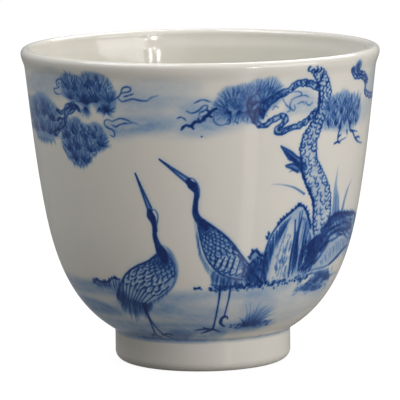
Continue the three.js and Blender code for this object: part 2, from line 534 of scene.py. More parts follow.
def hatching(sheet, first, second, count, width, tone, ragged=0.15):
    """Strokes side by side from one edge to another, or up to `ragged` of the way short of it."""
    first, second = smooth(first), smooth(second)
    for share in np.linspace(0, 1, count):
        share = share + sheet.vary(-0.3, 0.3) / count
        a = np.array(across_body(first, second, share, sheet.vary(0, 0.1)))
        b = np.array(across_body(first, second, share, sheet.vary(1 - ragged, 1)))
        middle = (a + b) / 2 + sheet.vary(-0.4, 0.4, 2)
        strength = tone * sheet.vary(0.7, 1.1)
        sheet.stroke([a, middle, b], (0.6 * width, width, 0.4 * width),
                     (min(strength, 1), 0.9 * strength, 0.5 * strength))


def moss(sheet, spots, size=0.9, tone=0.85, gap=1.0):
    """Dabs of moss that stand up along an edge."""
    edge = smooth(spots)[::max(1, int(gap / LINE_SPACING))]
    for spot in edge:
        for _ in range(2):
            lean = sheet.vary(-55, 55)
            length = size * sheet.vary(0.5, 1.1)
            sheet.stroke(sheet.ray(tuple(spot), lean, 0, length), (0.5, 0.55, 0.35),
                         tone * sheet.vary(0.75, 1.05))
    sheet.stroke(spots, 0.55, 0.8 * tone)


def blade(sheet, spots, width, tone):
    """A blade of grass, from its root to its tip."""
    sheet.stroke(spots, (width, 0.8 * width, 0.12), (tone, 0.8 * tone, 0.45 * tone))


def left_pines(sheet):
    """The pine boughs and clouds at the upper left."""
    sheet.wash([(-112, 62), (-104, 67), (-96, 69), (-86, 68), (-75, 68), (-66, 69.6), (-60, 69),
                (-54, 66.5), (-53, 63), (-57, 60), (-61, 58), (-70, 57.6), (-80, 60), (-92, 58),
                (-104, 59)], 0.45, soft=0.5)
    sheet.wash([(-50, 70), (-50, 74.5), (-46, 75.8), (-41, 75.4), (-36, 76.6), (-31, 75.4),
                (-28.5, 72), (-29, 67), (-35, 67), (-38, 69), (-39.5, 65), (-42, 68.5)], 0.4,
               soft=0.4)
    sheet.wash([(-54, 58), (-51, 62.5), (-45, 65), (-41, 63), (-37, 64), (-32.5, 61), (-34, 57.5),
                (-39, 56.5), (-42, 53.5), (-47, 52.8), (-51, 55)], 0.42, soft=0.4)
    for theta, height, size in [
        (-104, 64.6, 3), (-96, 65.4, 3.2), (-88, 64.6, 3), (-78, 64.4, 3.2), (-71, 65.4, 3.1),
        (-64, 66, 2.9), (-58, 64.8, 2.3), (-99, 61.6, 3), (-90, 61, 2.8), (-82, 61.6, 2.8),
        (-73, 61.6, 2.8), (-66, 62, 2.8), (-60.5, 61.4, 2.4), (-57, 60.8, 1.7),
        (-47.6, 73.4, 2.4), (-43, 72.8, 2.6), (-38, 74, 2.7), (-33.4, 73.4, 2.8),
        (-46.4, 70.8, 2.1),
        (-41, 70.6, 2.5), (-35.6, 70.8, 2.5), (-30.8, 70.8, 2.2), (-31.4, 68.2, 1.7),
        (-50.4, 61, 2.3), (-46, 62.4, 2.6), (-41, 61.2, 2.4), (-36.8, 61.8, 2.4),
        (-34.6, 59.6, 1.9),
        (-49, 57.8, 2.4), (-44.6, 58.6, 2.7), (-39.6, 58.2, 2.3), (-46.4, 55.6, 2.3),
        (-42.4, 55.4, 1.9),
    ]:
        pine_fan(sheet, (theta, height), size, 0.7, sheet.vary(-20, 20))
    for theta in np.arange(-53, -35, 0.8):
        low = 53.4 + 0.06 * (theta + 45) ** 2 * 0.9
        spot = (theta, min(low, 58) + sheet.vary(-0.2, 0.8))
        sheet.stroke(sheet.ray(spot, 180 + 2.2 * (theta + 45), 0, sheet.vary(0.8, 1.5)),
                     (0.35, 0.3, 0.14), (0.7, 0.6, 0.35))
    for theta in np.arange(-74, -57, 1.0):
        spot = (theta, 58.4 + sheet.vary(-0.3, 0.6))
        sheet.stroke(sheet.ray(spot, 180 + sheet.vary(-25, 25), 0, 1.3), (0.3, 0.3, 0.14),
                     (0.6, 0.55, 0.3))
    for box in ((-49, -30, 70, 75.5), (-52, -34.5, 57, 63), (-48, -40, 53.4, 57),
                (-100, -55, 59.5, 67)):
        loose_needles(sheet, box, int(0.9 * (box[1] - box[0]) * (box[3] - box[2])))
    needle_fan(sheet, (-39.5, 68.6), 2.8, 66, count=10, tone=0.75, width=0.36)
    needle_fan(sheet, (-40, 68), 2.6, 48, count=6, tone=0.8, width=0.26, lean=186)
    needle_fan(sheet, (-34.4, 68.2), 2, 40, count=5, tone=0.7, width=0.24, lean=176)
    needle_fan(sheet, (-31.8, 67.4), 2.3, 150, count=13, tone=0.7, width=0.3)
    double_line(sheet, [(-54.4, 61.6), (-52, 63), (-50.2, 64.6), (-49.2, 66), (-46.6, 67),
                        (-44.4, 67.8), (-42.6, 66.8)], (0.9, 1.4, 1.5, 1.1), tone=0.8, fill=0.3,
                bark=2.4)
    double_line(sheet, [(-54.8, 66.4), (-52.4, 65.8), (-50.4, 66.6), (-48, 67.9), (-45.4, 68.5)],
                (0.7, 0.9), tone=0.75, fill=0.3, bark=2)
    sheet.stroke([(-58.6, 60.4), (-56.4, 61.2), (-54.5, 61.6)], (0.3, 0.6, 0.8), 0.8)
    sheet.stroke([(-55, 63.6), (-53.4, 64.4), (-52, 64.4)], (0.4, 0.7, 0.5), 0.8)


def left_clouds(sheet):
    """Thin curls of cloud and the pale washes that trail from them."""
    washes(sheet, [
        ([(-84, 70.4), (-62, 75.4), (-50, 75.6), (-49, 71), (-60, 69.6)], 0.24),
        ([(-27, 73), (-16, 75.5), (0, 74.4), (-4, 71.5), (-18, 71.8)], 0.14),
        ([(-28, 67.5), (-26, 70), (-14, 70.8), (4, 69.8), (12, 66), (4, 63.6), (-6, 66), (-18, 66)],
         0.2),
        ([(-28, 70.2), (-26, 72), (-20, 72), (-12, 70.8), (-4, 70.6), (-8, 69.6), (-20, 69.6)],
         0.16),
        ([(-31, 61), (-33, 64), (-27, 65.6), (-16, 65.6), (-8, 64.4), (-16, 63), (-24, 61.6)],
         0.34),
        ([(-22, 64), (-8, 66), (6, 64), (-2, 61.4), (-16, 62)], 0.16),
        ([(-8, 63.4), (0, 65.8), (10, 66), (16, 64.4), (8, 62.6), (-2, 62)], 0.2),
        ([(-6, 66.6), (-4, 69.6), (3, 70.6), (3, 67.4)], 0.16),
        ([(-44, 70.2), (-38, 71), (-40, 66), (-45, 66.6)], 0.2),
    ], soft=1.0, uneven=0.7)
    lines(sheet, [
        [(-49.8, 74.2), (-51.6, 74.2), (-53.2, 73.4), (-52.8, 72.5), (-51.8, 72.2), (-53, 71.9),
         (-54.8, 71.5), (-54.6, 70.7), (-52.8, 70.4), (-50.4, 70.7)],
        [(-51.6, 73.4), (-52.2, 73)],
        [(-28.6, 70.2), (-27, 70.9), (-26, 71.9), (-25.4, 73), (-24, 73.5), (-22.6, 73.3),
         (-22.6, 72.6), (-23.8, 72.2), (-25.4, 72), (-26.6, 71.2), (-26.8, 70.4), (-25.6, 69.9),
         (-24, 70.2), (-22, 70.6), (-19.6, 70.3), (-17.2, 70.3), (-15.6, 71.1), (-13.4, 71.6)],
        [(-25, 71.1), (-23.4, 71.4), (-21.4, 71.9)],
        [(-30.8, 61.4), (-29.6, 61.1), (-29.2, 62), (-30, 62.8), (-31.6, 63.2), (-32.8, 63.9),
         (-32.6, 64.9), (-31.2, 65.2), (-29.8, 64.9), (-28.4, 65.3), (-26.6, 65.7), (-24.4, 65.4),
         (-22.8, 64.9), (-20.6, 64.5)],
        [(-30, 64), (-28.6, 63.6), (-27.2, 64.1), (-25.4, 64.5), (-23, 64.6)],
        [(-4.4, 67.9), (-3.2, 67.4), (-1.6, 67.6), (-0.2, 68.3), (1, 69.2), (2, 69.2), (2, 68.4),
         (0.8, 67.8), (-0.4, 67.4), (-0.4, 66.7), (0.8, 66.4)],
        [(-7.5, 66.1), (-6.4, 66.4), (-5.4, 66.1), (-4.6, 65.5)],
        [(-2, 69.8), (0.6, 70.6), (3.4, 70)],
    ], (0.3, 0.4, 0.3, 0.4, 0.24), (0.62, 0.8, 0.66, 0.76, 0.4))


def centre_pine(sheet):
    """The bough that reaches to the middle, with its fans of needles."""
    sheet.wash([(3.6, 66), (4.8, 70.5), (8, 73.4), (13, 73), (16, 73.6), (20, 74), (24.6, 73.6),
                (26.6, 71), (23, 68.5), (20, 66.5), (17, 64.5), (12, 65.4), (7, 65.4)], 0.3,
               soft=0.5)
    sheet.wash([(20, 68), (22, 70.4), (25, 72), (28, 72), (26.4, 70), (23, 68)], 0.35)
    sheet.wash([(28.5, 66.5), (30, 70.5), (36, 71.5), (40, 69), (38.5, 66.5), (33, 66)], 0.2)
    for theta, height, size, lean in [
        (22.4, 72.8, 2.7, 12), (18, 72.4, 2.7, -4), (13.6, 71.6, 2.6, -8), (9.6, 70.6, 2.8, -22),
        (7, 68.4, 2.4, -65), (8.6, 66.8, 1.9, -130), (12.2, 69, 2.3, 0), (16.8, 70, 2.3, 8),
        (20.8, 70.4, 2.1, 14), (12.6, 66.6, 1.9, 170), (15.6, 66.6, 2.1, 180), (18.6, 67, 2, 170),
    ]:
        pine_fan(sheet, (theta, height), size, 0.66, lean, 62)
    double_line(sheet, [(41, 72), (38.5, 73), (35.5, 73.6), (32.5, 73.5), (30, 72.5), (27.5, 71.5),
                        (24.5, 70.6), (22, 69.4), (20.4, 67.6), (19.4, 65.8)], (1.7, 1.5, 1.5, 1.4),
                fill=0.26, bark=2)
    double_line(sheet, [(40.5, 66.6), (38.4, 65.2), (36, 63.9), (33, 63.1), (30, 62.8), (27.6, 61.9),
                        (25.4, 61.9), (25.8, 63), (28, 64.3), (28.6, 65.3), (26.8, 65.9), (24, 65.2),
                        (21.6, 64), (19.2, 64), (17.4, 65.4), (16.4, 67.4), (15.4, 69.4)],
                (1.4, 1.25, 1.2), fill=0.26, bark=1.8)
    sheet.stroke([(-6, 63.9), (-4.6, 64.4), (-3.2, 64.2), (-1.8, 65.2), (0, 65.3), (1.2, 66.4),
                  (2.2, 66.8), (3.4, 67.8), (5, 68.4)], (0.4, 0.8, 0.7, 0.9, 0.6), 0.9)
    lines(sheet, [[(-3, 64.2), (-2.4, 63.6)], [(-0.4, 65.3), (-0.8, 66)], [(1.6, 66.6), (1.2, 65.6)],
                  [(2.4, 66.8), (3.4, 66.4)], [(-5.4, 64), (-6.2, 63.4)], [(2.8, 67.4), (2.2, 68)]],
          0.55, 0.85)
    lines(sheet, [[(27, 70.2), (27.8, 69.2), (28.6, 68.4), (29.6, 67.8), (29.8, 67), (28.8, 66.8)],
                  [(30.4, 69.6), (29.8, 68.6), (30.2, 67.6), (31.2, 67), (31.8, 67.6), (31.4, 68.4)],
                  [(31.2, 71.6), (32.8, 71.6), (34, 71.1), (33.6, 70.5), (32.2, 70.3), (30.4, 69.8)],
                  [(34, 70.5), (35.6, 70.5), (37, 70)], [(35.8, 69), (36.4, 68.3), (37.4, 68),
                                                         (38.6, 68.6)], [(32.6, 68.6), (34.6, 69),
                                                                         (35.4, 68.4)],
                  [(23.6, 67.6), (24.4, 68.4), (25.6, 68)], [(4.2, 66.6), (4.2, 65.4), (5.2, 64.6),
                                                             (6.6, 64.3), (8, 64.6)], [(8, 64.6),
                                                                                       (9, 64.6),
                                                                                       (9.6, 65.2),
                                                                                       (8.8, 65.6)],
                  [(11, 65.2), (12, 64.6)]], (0.26, 0.34, 0.26), (0.55, 0.66, 0.5))
    lines(sheet, [[(15, 68.8), (15.6, 70.4), (17, 71.2)], [(16.4, 68.4), (18, 69.6), (19.6, 69.4)],
                  [(19.6, 66.4), (19, 68), (20, 69.8)], [(17.8, 65.6), (17.6, 67.4), (18.6, 68.8)]],
          (0.5, 0.7, 0.4), (0.8, 0.85, 0.6))


TRUNK_LEFT = [(36, 77), (38.4, 75.4), (40.2, 73.6), (41.2, 71), (41.4, 68), (40.4, 65), (37.6, 62.4),
              (35.4, 59.5), (35, 56.6), (35.8, 53.8), (36.8, 50.8), (39, 47.6), (41.8, 44.6),
              (43.4, 41.6), (43.8, 38.4), (45.4, 35)]
TRUNK_RIGHT = [(39.2, 77), (42.4, 76), (44.8, 74), (46.3, 71.4), (46, 68.6), (44.8, 65.6),
               (43.4, 62.6), (41.8, 60), (41.4, 57.2), (42.4, 54.4), (45, 51.6), (48.4, 48.6),
               (50.8, 45.4), (52.2, 42.2), (52.8, 39.4), (53, 36.5)]


def trunk(sheet):
    """The pine's trunk, with scaly bark and broken stubs."""
    sheet.wash(TRUNK_LEFT + TRUNK_RIGHT[::-1], 0.27, soft=0.3, uneven=0.8)
    left, right = smooth(TRUNK_LEFT), smooth(TRUNK_RIGHT)
    for row in range(34):
        for column in range(3):
            share = (row + 0.5 * (column % 2) + sheet.vary(-0.25, 0.25)) / 34
            middle = (column + 0.5) / 3 + sheet.vary(-0.08, 0.08)
            bark_curl(sheet, across_body(left, right, share, middle))
    for edge, inward, turn in ((left, 0.35, 270), (right, -0.35, 90)):
        for spot in edge[::9]:
            spot = sheet.beside(tuple(spot), inward + sheet.vary(-0.15, 0.15), 0)
            bark_curl(sheet, spot, 0.9, turn + sheet.vary(-25, 25))
    sheet.stroke(TRUNK_LEFT, (0.2, 0.35, 0.2, 0.4, 0.25, 0.5, 0.4), (0.5, 0.8, 0.5, 0.8, 0.6))
    lines(sheet, [[(36, 52), (37.2, 50), (38.4, 48.8)], [(38.6, 48.4), (40, 46.8), (41.4, 45.6)],
                  [(41.2, 45.6), (42.6, 44), (43.2, 42.4)],
                  [(41.6, 71), (41.8, 68.6), (41.4, 66.4)]], (0.4, 0.9, 0.5), 0.85)
    for spots, width in [
        ([(27.2, 58.5), (30, 56.6), (33.4, 54.6), (36.4, 52.9)], (0.3, 1.3, 2.0, 2.4)),
        ([(29.4, 53.5), (31.6, 53.2), (33.6, 52.4), (36, 51.8)], (0.3, 0.9, 1.0, 1.0)),
        ([(30, 55.2), (31.4, 55), (33, 54.4)], (0.3, 0.7, 0.8)),
        ([(31, 51.9), (32.4, 52.3), (34, 52)], (0.2, 0.5, 0.6)),
    ]:
        sheet.stroke(spots, width, 0.55, soft=0.35)
    lines(sheet, [
        [(27.2, 58.5), (31, 57), (34, 55.4), (36.2, 55)], [(27.4, 58.2), (29.8, 55.8), (31, 54.8)],
        [(29, 57.2), (32, 55.4), (35, 53.6)], [(29.4, 53.6), (32, 53.8), (34.4, 53)],
        [(29.6, 53.2), (32, 52.6), (34.4, 51.6)],
        [(30, 56.4), (31, 55.6), (33, 54.4), (35.4, 52.6)],
    ], (0.3, 0.5, 0.45), 0.85)
    sheet.stroke([(24.4, 49.2), (29, 48.8), (33.6, 47.8), (38, 46)], (0.15, 0.4, 0.6),
                 (0.25, 0.5, 0.6))


def right_pine(sheet):
    """The bough to the right of the trunk, with its hanging twigs."""
    sheet.wash([(43, 62), (44.5, 68), (47.5, 69.6), (50.5, 69.4), (53, 70.8), (56, 69.4), (60, 68.8),
                (64, 66.8), (66.5, 64.8), (65, 62), (60, 60.4), (55, 60), (50, 60.8), (46, 61.2)],
               0.3, soft=0.5)
    sheet.wash([(64, 62), (66, 66), (72, 66.4), (78, 64), (72, 61.6)], 0.15, soft=1.2)
    for theta, height, size in [
        (46.2, 67, 1.9), (50.2, 67.6, 2.4), (54.6, 68, 2.3), (59, 67, 2.3), (63.6, 66, 1.8),
        (48.4, 65.2, 2.1), (52.8, 65.8, 1.9), (57.6, 65.4, 2.2), (61.4, 64.4, 1.9),
        (46.6, 63.4, 1.7),
        (50.6, 63.2, 2.1), (55.4, 63.4, 2), (59.4, 62.6, 1.8), (63.4, 62.8, 1.5), (53, 61.8, 1.5),
    ]:
        pine_fan(sheet, (theta, height), size, 0.55, sheet.vary(-25, 25), 45)
    loose_needles(sheet, (44.5, 65, 61, 68.6), 230)
    lines(sheet, [
        [(53.4, 63.2), (53, 61.2), (52.3, 59.4), (52.8, 57.8), (54.6, 58.2), (57.4, 58.6)],
        [(50.6, 57.6), (52.4, 57.9), (54, 57.4)], [(52.6, 59.2), (54.2, 59.6)],
        [(58.6, 62.6), (59.8, 60.2), (62, 59.9), (65.6, 59.4)],
        [(60.4, 60.2), (61.8, 59.6), (64, 58), (66.4, 57), (69, 56.4), (72, 56)],
        [(64.4, 57.9), (66.6, 58), (69, 57.6)], [(57.4, 60.4), (58, 59.2)],
    ], (0.5, 0.55, 0.3), (0.85, 0.8, 0.5))


def top_right_branch(sheet):
    """A forked branch that comes from beyond the right edge."""
    double_line(sheet, [(57, 76), (58.4, 74.4), (61, 73.4), (64.5, 73.2), (67.6, 72.4), (69, 70.8),
                        (69.4, 69.2), (72.5, 68.2), (78, 67.4), (86, 67.4), (95, 68.6), (104, 70)],
                (0.9, 1.2, 1.3, 1.5, 1.9), tone=0.9, fill=0.3, bark=1.6)
    double_line(sheet, [(60.4, 76.4), (61, 75), (64, 74.2), (68, 73.2), (70.8, 71.4)],
                (0.8, 0.9, 1.0), tone=0.85, fill=0.3, bark=1.0)
    sheet.wash([(58.4, 75.2), (59, 77), (61, 77.2), (62.6, 75.6), (61, 74.2)], 0.7, soft=0.4)
    sheet.wash([(70, 70), (76, 75), (90, 75), (104, 73), (96, 68), (80, 66)], 0.14, soft=1.6)
    for spot, length, lean in [((104, 71), 4.4, 30), ((97, 70.6), 4.2, -10), ((110, 69.5), 4.2, 60),
                               ((101, 68.6), 3.8, 160), ((91, 69.6), 3.6, -20)]:
        needle_fan(sheet, spot, length, 75, count=30, tone=0.68, width=0.32, lean=lean)


def crane_head(sheet, tip, base, head, crown):
    """A raised beak in two tones, a dark face, and a pale crown inside a thin outline."""
    tip, base = np.array(tip), np.array(base)
    sheet.stroke([tip, (tip + base) / 2, base], (0.2, 0.9, 1.5), 0.45)
    for side in (-1, 1):
        shift = np.array([side * 0.55, side * 0.5])
        sheet.stroke([tip, (tip + base) / 2 + 0.45 * shift, base + shift], (0.3, 0.42, 0.36), 0.88)
    sheet.stroke([tip, tip + 0.3 * (base - tip)], (0.25, 0.6), 0.9)
    sheet.stroke(head, (1.3, 2.0, 1.5), 0.95)
    sheet.stroke(crown, (0.24, 0.32, 0.28), 0.8)


def left_crane(sheet):
    """The crane that stands behind, with its head raised."""
    back = [(-17, 32), (-20.5, 30.3), (-25, 29), (-29.5, 27.2), (-33, 25), (-36, 22.4),
            (-38.5, 19.4)]
    chest = [(-12.6, 32.6), (-10.8, 30), (-10.6, 27), (-13, 24.2), (-17.5, 21.8), (-22.5, 19.8),
             (-27, 17.8)]
    sheet.wash(back + chest[::-1], 0.42, soft=0.4, uneven=0.3)
    sheet.wash([(-37, 22), (-32, 21), (-25, 19.6), (-22, 19), (-24, 17.4), (-31, 15.8), (-37, 16.6)],
               0.25, soft=0.8)
    sheet.wash([(-16.5, 32.4), (-13, 33), (-11, 30.5), (-12, 28), (-18, 29)], 0.55, soft=0.5)
    scales(sheet, back, chest, 7, 6, 0.8, line=0.3, start=0.02, end=0.4, pale=0.25)
    scales(sheet, back, chest, 4, 5, 0.85, line=0.34, droop=1.2, start=0.38, end=0.68, pale=0.66)
    for share in np.linspace(0.04, 0.98, 19):
        root = across_body(smooth(back), smooth(chest), 0.64 + sheet.vary(-0.03, 0.06), share)
        end = across_body(smooth(back), smooth(chest), 0.97, 0.2 + 0.8 * share)
        pale = round(share * 20) % 2 == 0
        sheet.stroke([root, end], (0.3, 0.5, 0.3) if pale else 0.3, 0.5 if pale else 0.8, lift=pale)
    hatching(sheet, [(-34, 22.5), (-32, 20.6), (-29, 19.6), (-25, 19), (-22, 19.4)],
             [(-41, 14.6), (-36, 13.2), (-31, 13.6), (-27, 14.6), (-23.2, 17)], 34, 0.34, 0.72,
             ragged=0.4)
    hatching(sheet, [(-36, 23), (-35, 21.6), (-33, 20.4)],
             [(-40.2, 19.4), (-39.8, 17.6), (-38.6, 15.8)], 8, 0.42, 0.7)
    sheet.stroke(back, (0.5, 0.42, 0.4, 0.5), 0.85)
    sheet.stroke([(-17.3, 41.4), (-16.9, 39), (-16.9, 36.6), (-15.9, 34.2), (-14.6, 32.2),
                  (-14, 30.6)], (1.5, 1.1, 1.15, 1.5, 2.6, 1.6), 0.97)
    crane_head(sheet, (-22.6, 52.3), (-18.1, 43.4), [(-18.3, 43), (-18, 41.9), (-17.2, 40.6)],
               [(-17.3, 43.4), (-16.2, 43.3), (-15.4, 42.2), (-15.5, 41), (-16, 39.6), (-16, 38)])
    for spots, tone in [
        ([(-14, 34.4), (-11.6, 33), (-10, 30), (-9.8, 27.2), (-12, 24), (-16, 21.6), (-21, 19.8)],
         0.36),
        ([(-12.6, 34), (-10.4, 32), (-9.2, 28.6), (-10.6, 25), (-14, 22.4), (-19, 20.2)], 0.26),
    ]:
        sheet.stroke(spots, (0.3, 0.4, 0.5, 0.3), tone, soft=0.5)
    hatching(sheet, [(-11.4, 31), (-10.4, 27.4), (-13, 24), (-18, 21), (-23, 19.4)],
             [(-9.6, 29.6), (-9.8, 25.8), (-13.4, 22.6), (-18.6, 19.6), (-24, 17.8)], 30, 0.3, 0.4)
    for spots, width in [
        ([(-25.6, 18.6), (-26, 16.6), (-26, 14.8)], (1.6, 1.0, 0.7)),
        ([(-26, 15), (-26.3, 13), (-27.2, 11.2), (-28.2, 9.6)], (0.55, 0.45, 0.55)),
        ([(-25.8, 15.2), (-25, 13), (-23.8, 11), (-22.6, 9.8)], (0.55, 0.4, 0.5)),
        ([(-28.2, 9.7), (-30.4, 9.5), (-32.4, 9)], (0.7, 0.5, 0.3)),
        ([(-28.2, 9.7), (-26.4, 9.2), (-24.6, 9.1)], (0.6, 0.5, 0.3)),
        ([(-22.8, 9.9), (-19.8, 10.3), (-17.6, 9.8)], (0.7, 0.8, 0.4)),
        ([(-22.8, 9.8), (-20.6, 9.4), (-18.6, 9)], (0.6, 0.5, 0.3)),
        ([(-22.8, 9.8), (-24.2, 9.7)], (0.6, 0.4)),
    ]:
        sheet.stroke(spots, width, 0.8)


def right_crane(sheet):
    """The crane in front, with its beak raised to the left."""
    back = [(0.6, 40.8), (4, 39.2), (8, 37), (11.4, 34.6), (14, 32.2), (17.2, 29.6), (20.8, 26.6),
            (24.4, 24)]
    belly = [(-1.4, 39.8), (-0.6, 36.6), (0.2, 34), (1.6, 31.4), (4, 29), (7, 27.2), (11, 26),
             (15.5, 25.4)]
    sheet.wash(back + belly[::-1], 0.42, soft=0.35, uneven=0.35)
    scales(sheet, back, belly, 10, 6, 0.8, line=0.3, start=0.03, end=0.44, pale=0.25)
    scales(sheet, back, belly, 5, 5, 0.85, line=0.34, start=0.43, end=0.72, pale=0.5)
    sheet.wash([(4.4, 29.2), (8, 31.4), (13.4, 31.2), (15.6, 28.6), (13, 26.4), (8, 27)], 0.6,
               soft=0.4, lift=True)
    lines(sheet, [
        [(6, 31.2), (4.6, 29.6), (4.4, 28.6), (6, 28.6)],
        [(8.4, 31.4), (6.6, 29.2), (6.2, 27.8), (8, 28)],
        [(10.4, 31.6), (8.8, 28.8), (8.4, 27.4), (10, 27.6)],
        [(12.4, 31.4), (11, 28.6), (10.6, 26.8), (12.4, 27)],
        [(14.4, 30.8), (13.4, 28.4), (13, 26.6), (14.8, 27)],
        [(16.4, 29.4), (15.8, 27.6), (15.4, 26.2), (17, 26.4)],
        [(7.4, 30.2), (7, 29)], [(9.6, 30), (9.2, 28.8)], [(11.8, 30), (11.2, 28.4)],
    ], (0.36, 0.4, 0.34), 0.85)
    hatching(sheet, [(4.4, 28), (7, 26.8), (10.5, 26), (14.5, 25.6)],
             [(3, 23.4), (6.4, 22.4), (10.4, 22.2), (14.6, 22)], 22, 0.36, 0.8, ragged=0.35)
    sheet.wash([(4.6, 28), (9, 26.6), (15, 26), (15, 23.4), (8, 23.6), (4, 24.8)], 0.3, soft=0.6)
    hatching(sheet, [(12.6, 32.2), (14.4, 29.6), (15.4, 27.4), (15, 25.8)],
             [(25.4, 23.4), (22.8, 22.8), (20, 22.6), (17, 22.6)], 11, 0.32, 0.75)
    for theta in np.arange(3.2, 25, 1.15):
        place = (theta + sheet.vary(-0.3, 0.3), 23.2 + sheet.vary(-0.5, 0.5))
        sheet.stroke([sheet.beside(place, -0.35, 0.5), place, sheet.beside(place, 0.4, 0.45)],
                     (0.3, 0.5, 0.3), sheet.vary(0.5, 0.85))
    sheet.stroke(back, (0.6, 0.45, 0.45, 0.6), 0.9)
    sheet.stroke(belly, 0.4, 0.75)
    sheet.stroke([(-2.6, 49.6), (-1.7, 47.6), (-2, 45.4), (-2.2, 43), (-1.2, 41.2), (0.6, 40),
                  (1.8, 38.8)], (1.7, 1.15, 1.2, 1.35, 1.7, 2.0, 1.0), 0.97)
    crane_head(sheet, (-13.9, 56), (-4.4, 50.7), [(-4.4, 50.6), (-3.6, 49.9), (-2.2, 48.6)],
               [(-4, 51.4), (-2.7, 51.2), (-1.5, 50.2), (-0.8, 48.8), (-0.7, 47.2), (-1.2, 46)])
    for spots, tone in [
        ([(-2.4, 40.6), (-1.8, 37), (-1, 33.6), (0.6, 30.6), (3, 28)], 0.34),
        ([(-1.6, 36), (-0.4, 31.6), (1.4, 28.6), (3.6, 26.4)], 0.28),
    ]:
        sheet.stroke(spots, (0.3, 0.5, 0.4), tone, soft=0.5)
    hatching(sheet, [(-1.6, 38), (-0.6, 33.4), (1.6, 30.4), (4.6, 28)],
             [(-2, 36), (-0.8, 31), (1.4, 28), (3.8, 25.4)], 24, 0.28, 0.42)
    for spots, width in [
        ([(7, 24), (6.9, 21), (6.4, 17.6), (5.8, 14.4), (5.2, 11.9)], (0.65, 0.42, 0.4, 0.5)),
        ([(11.2, 24), (11, 21), (10.4, 18), (9.9, 15.6)], (0.55, 0.36, 0.4)),
        ([(10, 15.6), (8.8, 15), (8.6, 13.8), (9.6, 13.1), (10.8, 12.7)], (0.7, 0.9, 0.8, 0.5)),
        ([(9.8, 15.4), (11, 15.5), (11.8, 14.8)], (0.7, 0.6, 0.3)),
        ([(5.2, 11.9), (1.6, 12), (-1.4, 11.9), (-4, 11.6)], (0.9, 0.7, 0.6, 0.3)),
        ([(4.8, 11.8), (1.8, 11.2), (-0.8, 10.7)], (0.7, 0.7, 0.3)),
        ([(5, 11.9), (7.4, 11.5), (9, 11)], (0.8, 0.6, 0.3)),
        ([(2.6, 12), (0.4, 12.5)], (0.6, 0.3)),
    ]:
        sheet.stroke(spots, width, 0.88)


def main_rock(sheet):
    """The upright rock in front of the trunk."""
    sheet.wash([(36, 43), (31, 40.4), (27, 37.4), (24.4, 33.4), (23.6, 29.6), (25.4, 24.4), (36, 24),
                (43.6, 24.6), (46, 30), (44.6, 35), (41.4, 40)], 0.25, soft=0.6)
    sheet.wash([(33.6, 39.4), (30.4, 35), (28.4, 30), (27.2, 25), (31, 24.6), (34.6, 25.2), (35, 30),
                (35.2, 35)], 0.7, soft=0.6, lift=True)
    hatching(sheet, [(33, 40.6), (29, 38.6), (26, 36), (24, 32.4), (23.8, 29)],
             [(30, 36), (27.6, 32), (26.6, 29), (26.2, 26), (26, 24.4)], 20, 0.6, 0.66)
    hatching(sheet, [(37, 42.6), (39.6, 41), (42, 38), (44, 34.6), (45.6, 31.6)],
             [(36.4, 25), (38.6, 25.4), (41, 25), (43.2, 25), (46, 25.6)], 15, 0.6, 0.6)
    hatching(sheet, [(35.4, 36), (36.6, 38), (37.6, 34), (40, 32)],
             [(35.6, 25.4), (36.8, 25), (38, 25), (40.6, 25.4)], 9, 0.55, 0.7)
    for spots, tone in [
        ([(35.2, 39.6), (35.6, 35), (35.2, 30), (36, 25)], 0.8),
        ([(32, 38), (30, 33), (29, 28)], 0.3),
        ([(33.6, 36), (32.4, 31), (32, 26)], 0.28), ([(31.2, 31), (30.8, 26.4)], 0.3),
        ([(38, 40), (37, 36), (38, 30), (37.4, 26)], 0.7),
        ([(40.4, 38.6), (40, 34), (41, 29)], 0.6),
        ([(29.6, 26.4), (29.2, 29)], 0.35), ([(33.6, 28), (33.8, 25.4)], 0.35),
    ]:
        sheet.stroke(spots, (0.4, 0.55, 0.35), tone)
    lines(sheet, [[(39, 39), (38.4, 35), (39, 31)], [(42, 35.4), (42.4, 31), (42, 28)]],
          (0.4, 0.9, 0.5), 0.55, soft=0.5, lift=True)
    flecks(sheet, 60, (28.5, 35, 25, 36), (-14, 14), (0.3, 1.2), (0.25, 0.3, 0.2), (0.25, 0.6))
    flecks(sheet, 90, (40, 49, 25.6, 34), (-5, 50), (0.6, 1.8), (0.3, 0.5, 0.25), (0.4, 0.8))
    moss(sheet, [(36, 43.2), (32.8, 41.6), (29.8, 40), (28, 38.8)], 0.8)
    moss(sheet, [(36, 43.2), (38.4, 42.8), (40.2, 41), (41.6, 39), (43, 37)], 0.8)
    moss(sheet, [(24.2, 35.6), (24.8, 36.8)], 0.8)
    sheet.stroke([(28, 38.8), (26, 36.8), (24.4, 34), (23.6, 30.6), (24.2, 27), (25.6, 24.2)], 0.5,
                 0.75)
    sheet.wash([(17.4, 25), (17.8, 30), (18.6, 32.4), (21, 32), (23.8, 31.4), (24.4, 27), (25, 24)],
               0.42, soft=0.4)
    moss(sheet, [(18, 30.8), (18.8, 32.4), (20.8, 32.4), (22, 31.4), (24, 31.2)], 0.9, 0.9)
    hatching(sheet, [(17.6, 29), (20, 31.4), (23.4, 30.4)], [(18, 24), (21, 23.6), (24.6, 23.8)], 12,
             0.42, 0.75)
    lines(sheet, [[(18, 29), (19.4, 30), (20.6, 29.2), (20, 28)],
                  [(20.8, 31), (22.4, 30.4), (22.2, 28.8)], [(18.4, 27), (19.8, 27.4), (20.6, 26)],
                  [(22, 28), (23.6, 27.2), (23.4, 25.6)]], (0.3, 0.5, 0.3), 0.85)


